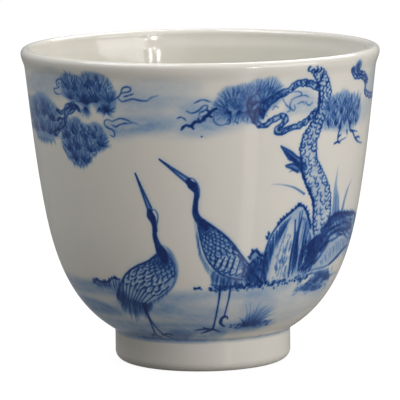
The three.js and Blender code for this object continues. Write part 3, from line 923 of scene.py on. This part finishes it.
def right_rocks(sheet):
    """The long mossy rocks at the right, which run on round the back."""
    sheet.wash([(43, 31), (47, 34.6), (53, 38.6), (62, 39), (72, 38.2), (82, 36), (94, 31.4),
                (106, 25.4), (96, 24.6), (80, 26.4), (70, 28.4), (60, 26.6), (50, 25.6), (44, 26)],
               0.3, soft=0.7)
    sheet.wash([(51, 27.4), (56, 30.6), (64, 32.2), (74, 31.6), (84, 28), (72, 27.6), (60, 27.2)],
               0.3, soft=0.7, lift=True)
    hatching(sheet, [(52, 28), (57, 31), (64, 32.4), (74, 32)],
             [(54, 26.4), (60, 27.4), (68, 28.4), (78, 28)], 30, 0.4, 0.34)
    for spots, width, tone in [
        ([(43.5, 31.5), (47, 33), (51, 36.4), (55, 38.6), (62, 38.8), (70, 38.2), (78, 37.6)],
         1.4, 0.62),
        ([(47, 29), (52, 31.8), (56, 34.6), (62, 35), (70, 34.4), (76, 34.6)], 1.0, 0.6),
        ([(44, 29), (47, 30), (50, 31)], 2.2, 0.6), ([(44.6, 27), (48, 28), (52, 29.4)], 1.6, 0.5),
        ([(60, 26.4), (66, 28), (72, 29.4), (80, 29.6)], 1.3, 0.6),
    ]:
        sheet.stroke(spots, (0.5 * width, width, 0.8 * width, 0.4 * width), (tone, tone, 0.5 * tone),
                     soft=0.5)
    upper = smooth([(43.6, 33.4), (48, 36), (53, 39), (62, 39.2), (76, 37.6), (92, 32),
                    (106, 25.2)])
    lower = smooth([(46, 26.4), (50, 28.4), (55, 31.4), (62, 33.4), (74, 31.4), (88, 27),
                    (104, 24.2)])
    for _ in range(280):
        along_share, across_share = sheet.random.random(2)
        start = across_body(upper, lower, along_share, across_share)
        end = across_body(upper, lower, along_share + sheet.vary(0.03, 0.12),
                          across_share + sheet.vary(-0.02, 0.12))
        strength = sheet.vary(0.35, 0.8) * (1 - 0.7 * along_share)
        sheet.stroke([start, end], (0.25, 0.45, 0.2), strength)
    hatching(sheet, [(43.4, 33), (45.4, 34.6), (48, 35)], [(44, 27), (47.6, 28.6), (52, 31)], 16,
             0.8, 0.7)
    hatching(sheet, [(49, 34), (54, 37.6), (62, 38), (72, 37)],
             [(52, 31.6), (57, 33.6), (66, 34), (77, 33.4)], 26, 0.5, 0.55)
    flecks(sheet, 110, (41, 66, 19.6, 25.4), (50, 110), (0.4, 1.3), (0.3, 0.5, 0.25), (0.15, 0.45))
    moss(sheet, [(52.4, 38.6), (57, 39.4), (62, 39.2), (76, 37.8), (88, 34)], 0.7, 0.7)
    sheet.stroke([(44.4, 25.6), (50, 26), (56, 26), (61, 26.6), (66, 28)], (0.2, 0.6, 0.4), 0.5,
                 soft=0.5)
    for spots, width, tone in [
        ([(43, 21.2), (49, 21.6), (54, 21)], 2.4, 0.55),
        ([(48, 22.8), (54, 24), (60, 25)], 2.6, 0.6),
        ([(55, 24), (61, 23.4), (66, 21.8)], 2.6, 0.6),
        ([(50, 20.4), (56, 20.8), (62, 20.6)], 2.2, 0.5),
        ([(50, 22), (53, 22.6), (56, 22.2)], 1.4, 0.55),
        ([(46, 25), (52, 25), (57, 25)], 0.6, 0.45),
        ([(60, 22), (66, 23), (74, 23)], 1.2, 0.3),
        ([(52, 22.8), (59, 22.9), (65, 22.6)], 2.4, 0.42),
    ]:
        sheet.stroke(spots, (0.3 * width, width, 0.3 * width), (0.7 * tone, tone, 0.6 * tone),
                     soft=0.8)
    for spots, width in [
        ([(55, 40), (54.4, 43.6), (53.9, 47), (54.2, 51.8)], 1.6),
        ([(57.4, 40), (56.2, 43.4), (54.6, 47)], 2.0),
        ([(61, 40), (61.8, 43), (63.4, 45.6), (66, 47.8)], 1.3),
    ]:
        blade(sheet, spots, width, 0.42)


def ground(sheet):
    """The bank that the cranes stand on, in thin washes, with moss dots and grass."""
    washes(sheet, [
        ([(-96, 21), (-80, 23), (-62, 23), (-46, 23.4), (-38, 22.6), (-36, 20.6), (-52, 20.4),
          (-76, 19)],
         0.38),
        ([(-24, 19.8), (-14, 22), (-2, 22.4), (3, 21.2), (-8, 20), (-18, 19.4)], 0.26),
        ([(-92, 15), (-74, 17.6), (-54, 17.6), (-44, 16.4), (-41, 15), (-54, 14.4), (-74, 13.4)],
         0.55),
        ([(-24, 16.4), (-12, 18.8), (0, 18.4), (10, 17), (4, 14.6), (-8, 14.4), (-20, 15)], 0.18),
        ([(-60, 20), (-20, 21.4), (4, 21.8), (24, 21.6), (34, 18), (26, 13), (0, 9), (-60, 8.4),
          (-80, 14)], 0.14),
        ([(20, 22), (44, 22.6), (66, 20), (62, 15), (40, 12), (20, 13)], 0.12),
        ([(-44, 17.6), (-30, 19), (-12, 18.6), (-20, 16.6), (-38, 16)], 0.2),
        ([(-100, 9), (-70, 12.6), (-40, 13), (-16, 13.6), (2, 13.4), (12, 11), (4, 8.2), (-40, 7.6),
          (-80, 7.6)], 0.3),
        ([(-22, 9), (-14, 11.4), (-6, 10.4), (-12, 8.6)], 0.4),
        ([(-50, 8.6), (-36, 10.4), (-26, 9.6), (-32, 8)], 0.3),
        ([(0, 22.4), (10, 23), (26, 23.6), (40, 23), (30, 21), (12, 20.4)], 0.18),
        ([(40, 21), (56, 22), (72, 20), (60, 18.4)], 0.12),
        ([(8, 10.6), (12, 13.6), (28, 13.4), (40, 12.4), (26, 10.4)], 0.26),
        ([(96, 20), (130, 24), (170, 23), (205, 21), (250, 23), (266, 20), (220, 16), (150, 17)],
         0.2),
        ([(110, 14), (150, 16.4), (200, 15), (230, 13), (180, 11.6), (130, 12)], 0.28),
    ], soft=0.9, uneven=0.6)
    moss(sheet, [(-49.6, 23), (-48, 24), (-44, 23.6), (-40.6, 24), (-38, 25), (-34.4, 25)], 0.7,
         0.8)
    hatching(sheet, [(-49, 23.8), (-44, 23.8), (-40, 24.4), (-36, 25), (-33, 24.6)],
             [(-48, 21.6), (-44, 21.6), (-40, 21.6), (-37, 21.4), (-34.6, 21.6)], 22, 0.5, 0.62)
    for _ in range(150):
        theta = sheet.vary(3, 47)
        height = 23.3 + 0.02 * (theta - 3) + sheet.random.normal(0, 0.45)
        sheet.stroke(sheet.ray((theta, height), sheet.vary(-80, 80), 0, 0.5), (0.35, 0.45, 0.3),
                     sheet.vary(0.35, 0.85))
    moss(sheet, [(-3, 23.3), (-1.4, 23.5), (-0.4, 23.2)], 0.5, 0.8)
    sheet.wash([(19, 12.4), (21, 15), (25, 16.4), (31, 16.6), (31, 14), (29, 12.4)], 0.2, soft=1.0)
    for root, tip, height in [(21.4, 18.8, 18.6), (22.4, 20.6, 19.2), (23.4, 23, 18.2),
                              (24, 25.6, 19),
                              (24.6, 27, 17.4), (25.4, 30, 18.4), (26, 32.6, 17.4),
                              (27, 35.8, 17.2),
                              (27.6, 36.4, 15.4), (28, 38, 13.6), (21, 16.4, 15.2),
                              (20.4, 15.2, 13.2),
                              (23, 21.6, 16), (25, 28.4, 16), (26.4, 31.6, 15.4), (22, 18.4, 14.2)]:
        middle = (root + 0.36 * (tip - root), 12.6 + 0.62 * (height - 12.6))
        blade(sheet, [(root, 12.4), middle, (tip, height)], 0.5, sheet.vary(0.42, 0.6))
    for _ in range(36):
        spot = (sheet.vary(14, 36), sheet.vary(11.8, 13.2))
        sheet.stroke(sheet.ray(spot, sheet.vary(-60, 60), 0, 0.5), 0.4, 0.42)
    sheet.wash([(16, 11.8), (20, 13.2), (28, 13.6), (35, 12.6), (30, 11.4), (22, 11.4)], 0.35,
               soft=0.6)


def round_the_back(sheet):
    """Far hills, a low rock and grasses, which carry the view on round the back."""
    washes(sheet, [
        ([(118, 34), (134, 42), (146, 50), (156, 44), (170, 47), (184, 41), (200, 38), (214, 32),
          (180, 31), (140, 31)], 0.16),
        ([(150, 33), (164, 37), (176, 34), (190, 36), (206, 31), (176, 30)], 0.16),
        ([(120, 62), (140, 66), (168, 65), (190, 67), (214, 64), (186, 61), (150, 60)], 0.13),
    ], soft=1.4, uneven=0.6)
    sheet.wash([(216, 24), (220, 30), (226, 32.6), (232, 29.4), (238, 24)], 0.35, soft=0.5)
    hatching(sheet, [(218, 28), (224, 32), (230, 31), (236, 26)],
             [(218, 24), (224, 24), (230, 24), (238, 23.6)], 22, 0.8, 0.6)
    moss(sheet, [(217, 27), (221, 30.8), (226, 32.4), (231, 30), (236, 26)], 0.8, 0.75)
    for theta in (112, 128, 246, 205):
        for lean in (-34, -14, 6, 26):
            blade(sheet, sheet.ray((theta + lean / 12, 20.5), lean, 0, 6.5, lean * 0.4), 0.55, 0.55)


def painted_wall():
    """The whole painting, with the pigment everywhere on the unrolled wall."""
    sheet = Painting()
    for speck, width in SPECKS:
        sheet.stroke([speck, sheet.beside(speck, 0.1, 0)], width, 0.95)
    for paint in (left_clouds, ground, round_the_back, left_pines, right_rocks, main_rock, trunk,
                  centre_pine, right_pine, top_right_branch, left_crane, right_crane):
        paint(sheet)
    return sheet.finished()


WALL_PIGMENT = painted_wall()


def pigment_at(theta, reach):
    """The pigment at angles and distances up the wall, read between the sheet's pixels."""
    rows, columns = WALL_PIGMENT.shape
    x = (theta + 180) % 360 / 360 * columns
    y = np.clip(reach / WALL_LENGTH * (rows - 1), 0, rows - 1.001)
    x, y = np.broadcast_arrays(x, y)
    left, low = x.astype(int), y.astype(int)
    fx, fy = x - left, y - low
    left, right = left % columns, (left + 1) % columns
    bottom = WALL_PIGMENT[low, left] * (1 - fx) + WALL_PIGMENT[low, right] * fx
    top = WALL_PIGMENT[low + 1, left] * (1 - fx) + WALL_PIGMENT[low + 1, right] * fx
    return bottom * (1 - fy) + top * fy


# ---------------------------------------------------------------- meshes

def make_mesh(name, points, face_groups, loop_normals, material, stands_for):
    """An object from points in millimetres, faces in groups that each have one number of corners,
    and the normal at each corner. It takes its finish from the material and rides on the cup."""
    mesh = bpy.data.meshes.new(name)
    corners = np.concatenate([group.ravel() for group in face_groups])
    sizes = np.concatenate([np.full(len(group), group.shape[1]) for group in face_groups])
    mesh.vertices.add(len(points))
    mesh.vertices.foreach_set("co", (points * MM).astype(np.float32).ravel())
    mesh.loops.add(len(corners))
    mesh.loops.foreach_set("vertex_index", corners.astype(np.int32))
    mesh.polygons.add(len(sizes))
    starts = np.concatenate([[0], np.cumsum(sizes)[:-1]])
    mesh.polygons.foreach_set("loop_start", starts.astype(np.int32))
    mesh.update(calc_edges=True)
    mesh.polygons.foreach_set("use_smooth", np.ones(len(sizes), bool))
    mesh.normals_split_custom_set(loop_normals)
    mesh.materials.append(material)
    piece = bpy.data.objects.new(name, mesh)
    bpy.context.scene.collection.objects.link(piece)
    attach(piece, "root")
    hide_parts(*stands_for)
    return piece


def turned(name, shown, hidden, slot, material, stands_for):
    """A closed body of revolution. `shown` are the stretches of its outline that are smooth in
    themselves, and `hidden` is the rest of it. The outline closes on itself, or on the axis."""
    stretches = [*shown, hidden]
    normals = [facing(stretch) for stretch in shown] + [np.zeros_like(hidden)]
    angles = np.linspace(0, FULL_TURN, ROUND_COLUMNS, endpoint=False)
    spokes = np.stack([np.sin(angles), -np.cos(angles)], 1)
    outline = chain(*stretches)
    if np.hypot(*(outline[0] - outline[-1])) < TINY:
        outline = outline[:-1]
    on_axis = outline[:, 0] < TINY
    counts = np.where(on_axis, 1, ROUND_COLUMNS)
    first = np.concatenate([[0], np.cumsum(counts)])
    points = np.concatenate([
        np.column_stack([radius * spokes[:count], np.full(count, height)])
        for (radius, height), count in zip(outline, counts)
    ])
    here = np.arange(ROUND_COLUMNS)
    east = (here + 1) % ROUND_COLUMNS
    row = {}
    for index, place in enumerate(np.round(outline, 5)):
        row[tuple(place)] = index
    quads, quad_normals, triangles, triangle_normals = [], [], [], []
    for stretch, normal in zip(stretches, normals):
        rows = [row[tuple(place)] for place in np.round(stretch, 5)]
        for i, (low, high) in enumerate(zip(rows, rows[1:])):
            if low == high or (on_axis[low] and on_axis[high]):
                continue
            corner = [first[low] + here * (not on_axis[low]),
                      first[low] + east * (not on_axis[low]),
                      first[high] + east * (not on_axis[high]),
                      first[high] + here * (not on_axis[high])]
            way = [np.column_stack([normal[j][0] * spokes[k], np.full(ROUND_COLUMNS, normal[j][1])])
                   for j, k in ((i, here), (i, east), (i + 1, east), (i + 1, here))]
            if on_axis[low]:
                triangles.append(np.stack([corner[0], corner[2], corner[3]], 1))
                triangle_normals.append(np.stack([way[0], way[2], way[3]], 1))
            elif on_axis[high]:
                triangles.append(np.stack(corner[:3], 1))
                triangle_normals.append(np.stack(way[:3], 1))
            else:
                quads.append(np.stack(corner, 1))
                quad_normals.append(np.stack(way, 1))
    groups = [np.concatenate(group) for group in (quads, triangles) if group]
    loop_normals = np.concatenate([way.reshape(-1, 3) for way in quad_normals + triangle_normals])
    make_mesh(name, points, groups, loop_normals, material, stands_for)


def painted_panel(name, from_angle, to_angle, slot, material, stands_for):
    """Half of the bowl's painted coat, from one angle round the cup to another, in degrees. Its
    surface is a fine even grid whose points keep the pigment, and its hidden back is coarser."""
    spacing = PANEL_SPACING[name]
    step = round(BACKING_SPACING / spacing)
    across = step * round(math.pi * RIM_RADIUS / BACKING_SPACING) + 1
    up = step * round(WALL_LENGTH / BACKING_SPACING) + 1
    outline = resampled(WALL, up)
    theta = np.linspace(from_angle, to_angle, across)
    spokes = np.stack([np.sin(np.radians(theta)), -np.cos(np.radians(theta))], 1)

    def grid(profile, directions):
        """Points of a profile swept round the axis, as rows x columns x 3."""
        flat = profile[:, None, :1] * directions[None]
        heights = np.broadcast_to(profile[:, None, 1:], (*flat.shape[:2], 1))
        return np.concatenate([flat, heights], 2)

    normal = facing(outline)
    surface = grid(outline, spokes)
    back = grid((outline - GLAZE * normal)[::step], spokes[::step])
    points = np.concatenate([surface.reshape(-1, 3), back.reshape(-1, 3)])
    face_of = np.arange(up * across).reshape(up, across)
    back_of = up * across + np.arange(back.shape[0] * back.shape[1]).reshape(back.shape[:2])

    shown = quads_of(face_of)
    hidden = quads_of(back_of[:, ::-1])
    seams = np.concatenate([
        seam(face_of[0][::-1], back_of[0][::-1], step),
        seam(face_of[-1], back_of[-1], step),
        seam(face_of[:, 0], back_of[:, 0], step),
        seam(face_of[::-1, -1], back_of[::-1, -1], step),
    ])
    ways = grid(normal, spokes).reshape(-1, 3)[shown.ravel()]
    loop_normals = np.concatenate([ways, np.zeros((hidden.size + seams.size, 3))])
    piece = make_mesh(name, points, [shown, hidden, seams], loop_normals, material,
                      stands_for)
    reach = np.linspace(0, WALL_LENGTH, up)
    pigment = pigment_at(theta[None], reach[:, None]).reshape(-1)
    values = np.zeros(len(points), np.float32)
    values[:len(pigment)] = pigment
    piece.data.attributes.new("pigment", "FLOAT", "POINT").data.foreach_set("value", values)
    spread_panel(piece, across, up, shown, hidden.size + seams.size)


def quads_of(index):
    """The faces of a grid of point numbers, rows going up and columns going east."""
    corners = [index[:-1, :-1], index[:-1, 1:], index[1:, 1:], index[1:, :-1]]
    return np.stack([corner.ravel() for corner in corners], 1)


def seam(fine, coarse, step):
    """Faces that join a fine edge to the edge behind it, which is `step` times coarser."""
    faces = []
    for k in range(len(coarse) - 1):
        stretch = fine[k * step:(k + 1) * step + 1]
        faces.append([*stretch, coarse[k + 1], coarse[k]])
    return np.array(faces)


def spread_panel(piece, across, up, shown, hidden_corners):
    """Lays the panel's surface out flat over a UV map, with the hidden faces in one corner."""
    row, column = np.divmod(shown.ravel(), across)
    place = np.zeros((shown.size + hidden_corners, 2), np.float32)
    place[:shown.size, 0] = MAP_MARGIN + (1 - 2 * MAP_MARGIN) * column / (across - 1)
    place[:shown.size, 1] = MAP_MARGIN + (1 - 2 * MAP_MARGIN) * row / (up - 1)
    layer = piece.data.uv_layers.new(name="OFBake")
    layer.uv.foreach_set("vector", place.ravel())


# ---------------------------------------------------------------- materials

def linear(red, green, blue):
    """An sRGB colour, 0 to 255, as Blender's linear one."""
    channels = [value / 255 for value in (red, green, blue)]
    return (*[c / 12.92 if c <= 0.04045 else ((c + 0.055) / 1.055) ** 2.4 for c in channels], 1)


class Nodes:
    """A material's node tree, with short calls to add nodes and link them."""

    def __init__(self, name):
        self.material = bpy.data.materials.new(name)
        self.material.use_nodes = True
        self.tree = self.material.node_tree
        self.shader = self.tree.nodes["Principled BSDF"]

    def add(self, kind, inputs=None, **settings):
        """A node of that kind, with its settings, and its inputs set to values or linked."""
        node = self.tree.nodes.new("ShaderNode" + kind)
        for key, value in settings.items():
            setattr(node, key, value)
        for key, value in (inputs or {}).items():
            self.put(node.inputs[key], value)
        return node

    def put(self, socket, value):
        """Sets a socket, or links it if the value is another node's output."""
        if isinstance(value, bpy.types.NodeSocket):
            self.tree.links.new(value, socket)
        else:
            socket.default_value = value

    def ramp(self, factor, stops):
        """A colour ramp with its stops as {position: colour}."""
        node = self.add("ValToRGB", {"Fac": factor})
        elements = node.color_ramp.elements
        while len(elements) > 1:
            elements.remove(elements[-1])
        for index, (position, colour) in enumerate(sorted(stops.items())):
            element = elements[0] if index == 0 else elements.new(position)
            element.position = position
            element.color = colour
        return node.outputs["Color"]

    def noise(self, scale, detail=2.0):
        """Noise fixed to the object, with that many grains to a metre."""
        place = self.add("TexCoord").outputs["Object"]
        return self.add("TexNoise", {"Vector": place, "Scale": scale,
                                     "Detail": detail}).outputs["Fac"]

    def math(self, operation, *values):
        """A number worked out from others."""
        node = self.add("Math", operation=operation)
        for socket, value in zip(node.inputs, values):
            self.put(socket, value)
        return node.outputs["Value"]

    def orange_peel(self):
        """The faint waviness of a fired glaze."""
        inputs = {"Height": self.noise(PEEL_SCALE, 1.0), "Distance": PEEL_DEPTH, "Strength": 1.0}
        return self.add("Bump", inputs).outputs["Normal"]

    def finish(self, **sockets):
        """Sets the shader's own sockets and gives the material back."""
        for key, value in sockets.items():
            self.put(self.shader.inputs[key.replace("_", " ")], value)
        return self.material


PORCELAIN = linear(217, 213, 203)
PEEL_SCALE = 240  # noise scales are in grains to a metre
PEEL_DEPTH = 0.00004  # metres
PAINTED_SCALE = 160
PAINTED_MOTTLE = 0.03  # how much the bare ground's tone varies
CLEAR_SCALE = 60
CLAY_SCALE = 2500
CLAY_DETAIL = 3.0
PAINTED_ROUGHNESS = 0.1
CLEAR_ROUGHNESS = 0.08
CLAY_ROUGHNESS = 0.85


def painted_glaze():
    """Clear glaze over cobalt painting. The pigment of each point picks its blue."""
    nodes = Nodes("painted_glaze")
    pigment = nodes.add("Attribute", attribute_name="pigment").outputs["Fac"]
    mottle = nodes.noise(PAINTED_SCALE)
    colour = nodes.ramp(nodes.math("MULTIPLY_ADD", mottle, PAINTED_MOTTLE, pigment), {
        0.0: PORCELAIN,
        0.15: linear(186, 192, 195),
        0.35: linear(134, 159, 187),
        0.55: linear(84, 120, 168),
        0.75: linear(34, 77, 138),
        1.0: linear(0, 36, 98),
    })
    return nodes.finish(Base_Color=colour, Roughness=PAINTED_ROUGHNESS, Normal=nodes.orange_peel())


def clear_glaze():
    """Clear glaze on bare white clay."""
    nodes = Nodes("clear_glaze")
    mottle = nodes.noise(CLEAR_SCALE)
    colour = nodes.ramp(mottle, {0.3: linear(213, 211, 201), 0.7: linear(216, 214, 204)})
    return nodes.finish(Base_Color=colour, Roughness=CLEAR_ROUGHNESS, Normal=nodes.orange_peel())


def biscuit():
    """Bare fired clay."""
    nodes = Nodes("biscuit")
    grain = nodes.noise(CLAY_SCALE, CLAY_DETAIL)
    colour = nodes.ramp(grain, {0.3: linear(205, 192, 172), 0.7: linear(226, 217, 202)})
    return nodes.finish(Base_Color=colour, Roughness=CLAY_ROUGHNESS)


# ---------------------------------------------------------------- the cup

def build_cup():
    """Every piece of the cup, each in its own coat, standing where the CAD pieces are."""
    painted, clear, bare = painted_glaze(), clear_glaze(), biscuit()
    outside = {"slot": "painted_glaze", "material": painted, "stands_for": ["outside_glaze"]}
    inside = {"slot": "clear_glaze", "material": clear}
    clay = {"slot": "biscuit", "material": bare}
    painted_panel("glaze_front", -90, 90, **outside)
    painted_panel("glaze_back", 90, 270, **outside)
    turned("glaze_lip", [lip()], closed_behind(lip()), **outside)
    turned("glaze_foot", [foot_outside()], closed_behind(foot_outside()), **outside)
    turned("glaze_inside", [wall_inside()], closed_behind(wall_inside()),
           stands_for=["inside_glaze"], **inside)
    turned("glaze_foot_well", [foot_well()], closed_behind(foot_well()),
           stands_for=["foot_well_glaze"], **inside)
    turned("foot_clay", [bare_foot()], foot_core(), stands_for=["foot_ring"], **clay)
    core = bowl_core()
    turned("bowl_clay", [core], core[-1:], stands_for=["bowl_body"], **clay)


def closed_behind(outline):
    """The hidden rest of a coat: from the outline's end, under its surface, back to its start."""
    return chain(outline[-1:], behind(outline), outline[:1])


def foot_core():
    """The foot ring's clay where it is hidden: behind both glazes and under the bowl."""
    outer = foot_outside()
    under_outer = (outer - GLAZE * facing(outer))
    under_outer = under_outer[under_outer[:, 1] < JOINT_HEIGHT]
    well = foot_well()
    under_well = (well - GLAZE * facing(well))[1:]
    top = [(FOOT_RADIUS - GLAZE, JOINT_HEIGHT)]
    return chain(bare_foot()[-1:], under_outer, top, under_well, bare_foot()[:1])


def bowl_core():
    """The bowl's clay, from the axis out over the foot, up the wall, over the lip and back."""
    skin = chain(wall_outside(), lip(), wall_inside())
    under = resampled(skin - GLAZE * facing(skin), CORE_POINTS)
    under = under[under[:, 1] > JOINT_HEIGHT]
    under[-1, 0] = 0
    return chain([(0, JOINT_HEIGHT)], [(FOOT_RADIUS - GLAZE, JOINT_HEIGHT)], under)


# ---------------------------------------------------------------- camera, floor and light

MIDDLE = (0, 0, 40)  # the middle of the cup, which the lights look at
# Lengths in millimetres, angles in degrees, and the far clip in metres.
CAMERA = {
    "distance": 925.8, "elevation": 8.12, "lens": 330.3, "sensor": 36.0,
    "aim_left": 0.38, "aim_up": 0.19, "roll": 0.568, "far_clip": 20,
}
FLOOR_SIZE = 12  # metres
FLOOR_EVENNESS = 0.9  # share of the floor's look that no shadow changes
FLOOR_GLOW = 1.06
FLOOR_COLOUR = (250, 250, 250)
FLOOR_BOUNCE = (150, 148, 145)
BACKGROUND_SHOWN = 1.1
BACKGROUND_SHINING = 0.24
WHITE = (1, 1, 1, 1)

LIGHT_DISTANCE = 900
SOFTBOX = (600, 600)
WARM = (1.0, 0.955, 0.94)
NEUTRAL = (1.0, 0.975, 0.97)
COOL = (0.97, 1.0, 1.03)
# Each light as (name, azimuth, elevation, size, watts, tint).
LIGHTS = [
    ("window", 60, 12, SOFTBOX, 4.3, NEUTRAL),
    ("window_reflected", 30, 25, SOFTBOX, 0.75, WARM),
    ("upper_window", 30, 55, SOFTBOX, 0.5, WARM),
    ("back", 150, 50, SOFTBOX, 4.3, NEUTRAL),
    ("upper_left", -90, 65, SOFTBOX, 5.7, COOL),
    ("pane_0", 30, 9, (12, 90), 0.2, NEUTRAL),
    ("pane_1", 33, 6, (20, 36), 0.22, NEUTRAL),
    ("pane_2", 34, 15, (16, 100), 0.3, NEUTRAL),
    ("pane_3", 37, 11, (10, 150), 0.2, NEUTRAL),
    ("pane_4", 40, 17, (12, 60), 0.14, NEUTRAL),
    ("gleam", 34, -28, (150, 700), 0.36, WARM),
]


def aim(thing, location, target, roll=0.0):
    """Puts a camera or a light at a place in millimetres, looking at another."""
    location, target = Vector(location) * MM, Vector(target) * MM
    thing.location = location
    thing.rotation_mode = "QUATERNION"
    thing.rotation_quaternion = (
        (target - location).to_track_quat("-Z", "Y") @ Quaternion((0, 0, 1), math.radians(roll)))


def around(azimuth, elevation, distance):
    """A place round the cup. Azimuth 0 is in front of it, and it goes towards +X."""
    a, e = math.radians(azimuth), math.radians(elevation)
    return (distance * math.cos(e) * math.sin(a), -distance * math.cos(e) * math.cos(a),
            MIDDLE[2] + distance * math.sin(e))


def make_camera():
    """The camera that the picture is taken with."""
    data = bpy.data.cameras.new("camera")
    data.lens = CAMERA["lens"]
    data.sensor_width = CAMERA["sensor"]
    data.clip_end = CAMERA["far_clip"]
    camera = bpy.data.objects.new("camera", data)
    bpy.context.scene.collection.objects.link(camera)
    location = around(0, CAMERA["elevation"], CAMERA["distance"])
    aim(camera, location, (-CAMERA["aim_left"], 0, MIDDLE[2] + CAMERA["aim_up"]), -CAMERA["roll"])
    bpy.context.scene.camera = camera


def make_light(name, azimuth, elevation, size, watts, tint):
    """A soft rectangular light of that size in millimetres."""
    data = bpy.data.lights.new(name, "AREA")
    data.shape = "RECTANGLE"
    data.size, data.size_y = size[0] * MM, size[1] * MM
    data.energy = watts
    data.color = tint
    light = bpy.data.objects.new(name, data)
    bpy.context.scene.collection.objects.link(light)
    aim(light, around(azimuth, elevation, LIGHT_DISTANCE), MIDDLE)
    light.visible_camera = False


def make_floor():
    """A plain pale floor, which looks almost evenly lit and throws little light back up."""
    bpy.ops.mesh.primitive_plane_add(size=FLOOR_SIZE, location=(0, 0, 0))
    floor = bpy.context.object
    floor.name = "floor"
    nodes = Nodes("floor")
    seen = nodes.add("LightPath").outputs["Is Camera Ray"]
    pale = nodes.add("BsdfDiffuse", {"Color": linear(*FLOOR_COLOUR)})
    even = nodes.add("Emission", {"Color": WHITE, "Strength": FLOOR_GLOW})
    shown = nodes.add("MixShader", {0: FLOOR_EVENNESS, 1: pale.outputs[0], 2: even.outputs[0]})
    dim = nodes.add("BsdfDiffuse", {"Color": linear(*FLOOR_BOUNCE)})
    mixed = nodes.add("MixShader", {0: seen, 1: dim.outputs[0], 2: shown.outputs[0]})
    nodes.put(nodes.tree.nodes["Material Output"].inputs["Surface"], mixed.outputs[0])
    floor.data.materials.append(nodes.material)
    floor.visible_glossy = False


def make_surroundings():
    """An even white background, and the dimmer light that it gives off."""
    world = bpy.data.worlds.new("surroundings")
    bpy.context.scene.world = world
    world.use_nodes = True
    tree = world.node_tree
    background = tree.nodes["Background"]
    path = tree.nodes.new("ShaderNodeLightPath")
    mix = tree.nodes.new("ShaderNodeMix")
    mix.data_type = "FLOAT"
    mix.inputs["A"].default_value = BACKGROUND_SHINING
    mix.inputs["B"].default_value = BACKGROUND_SHOWN
    tree.links.new(path.outputs["Is Camera Ray"], mix.inputs["Factor"])
    tree.links.new(mix.outputs["Result"], background.inputs["Strength"])
    background.inputs["Color"].default_value = WHITE


build_cup()
make_camera()
make_floor()
make_surroundings()
for light in LIGHTS:
    make_light(*light)
bpy.context.scene.view_settings.view_transform = "Standard"
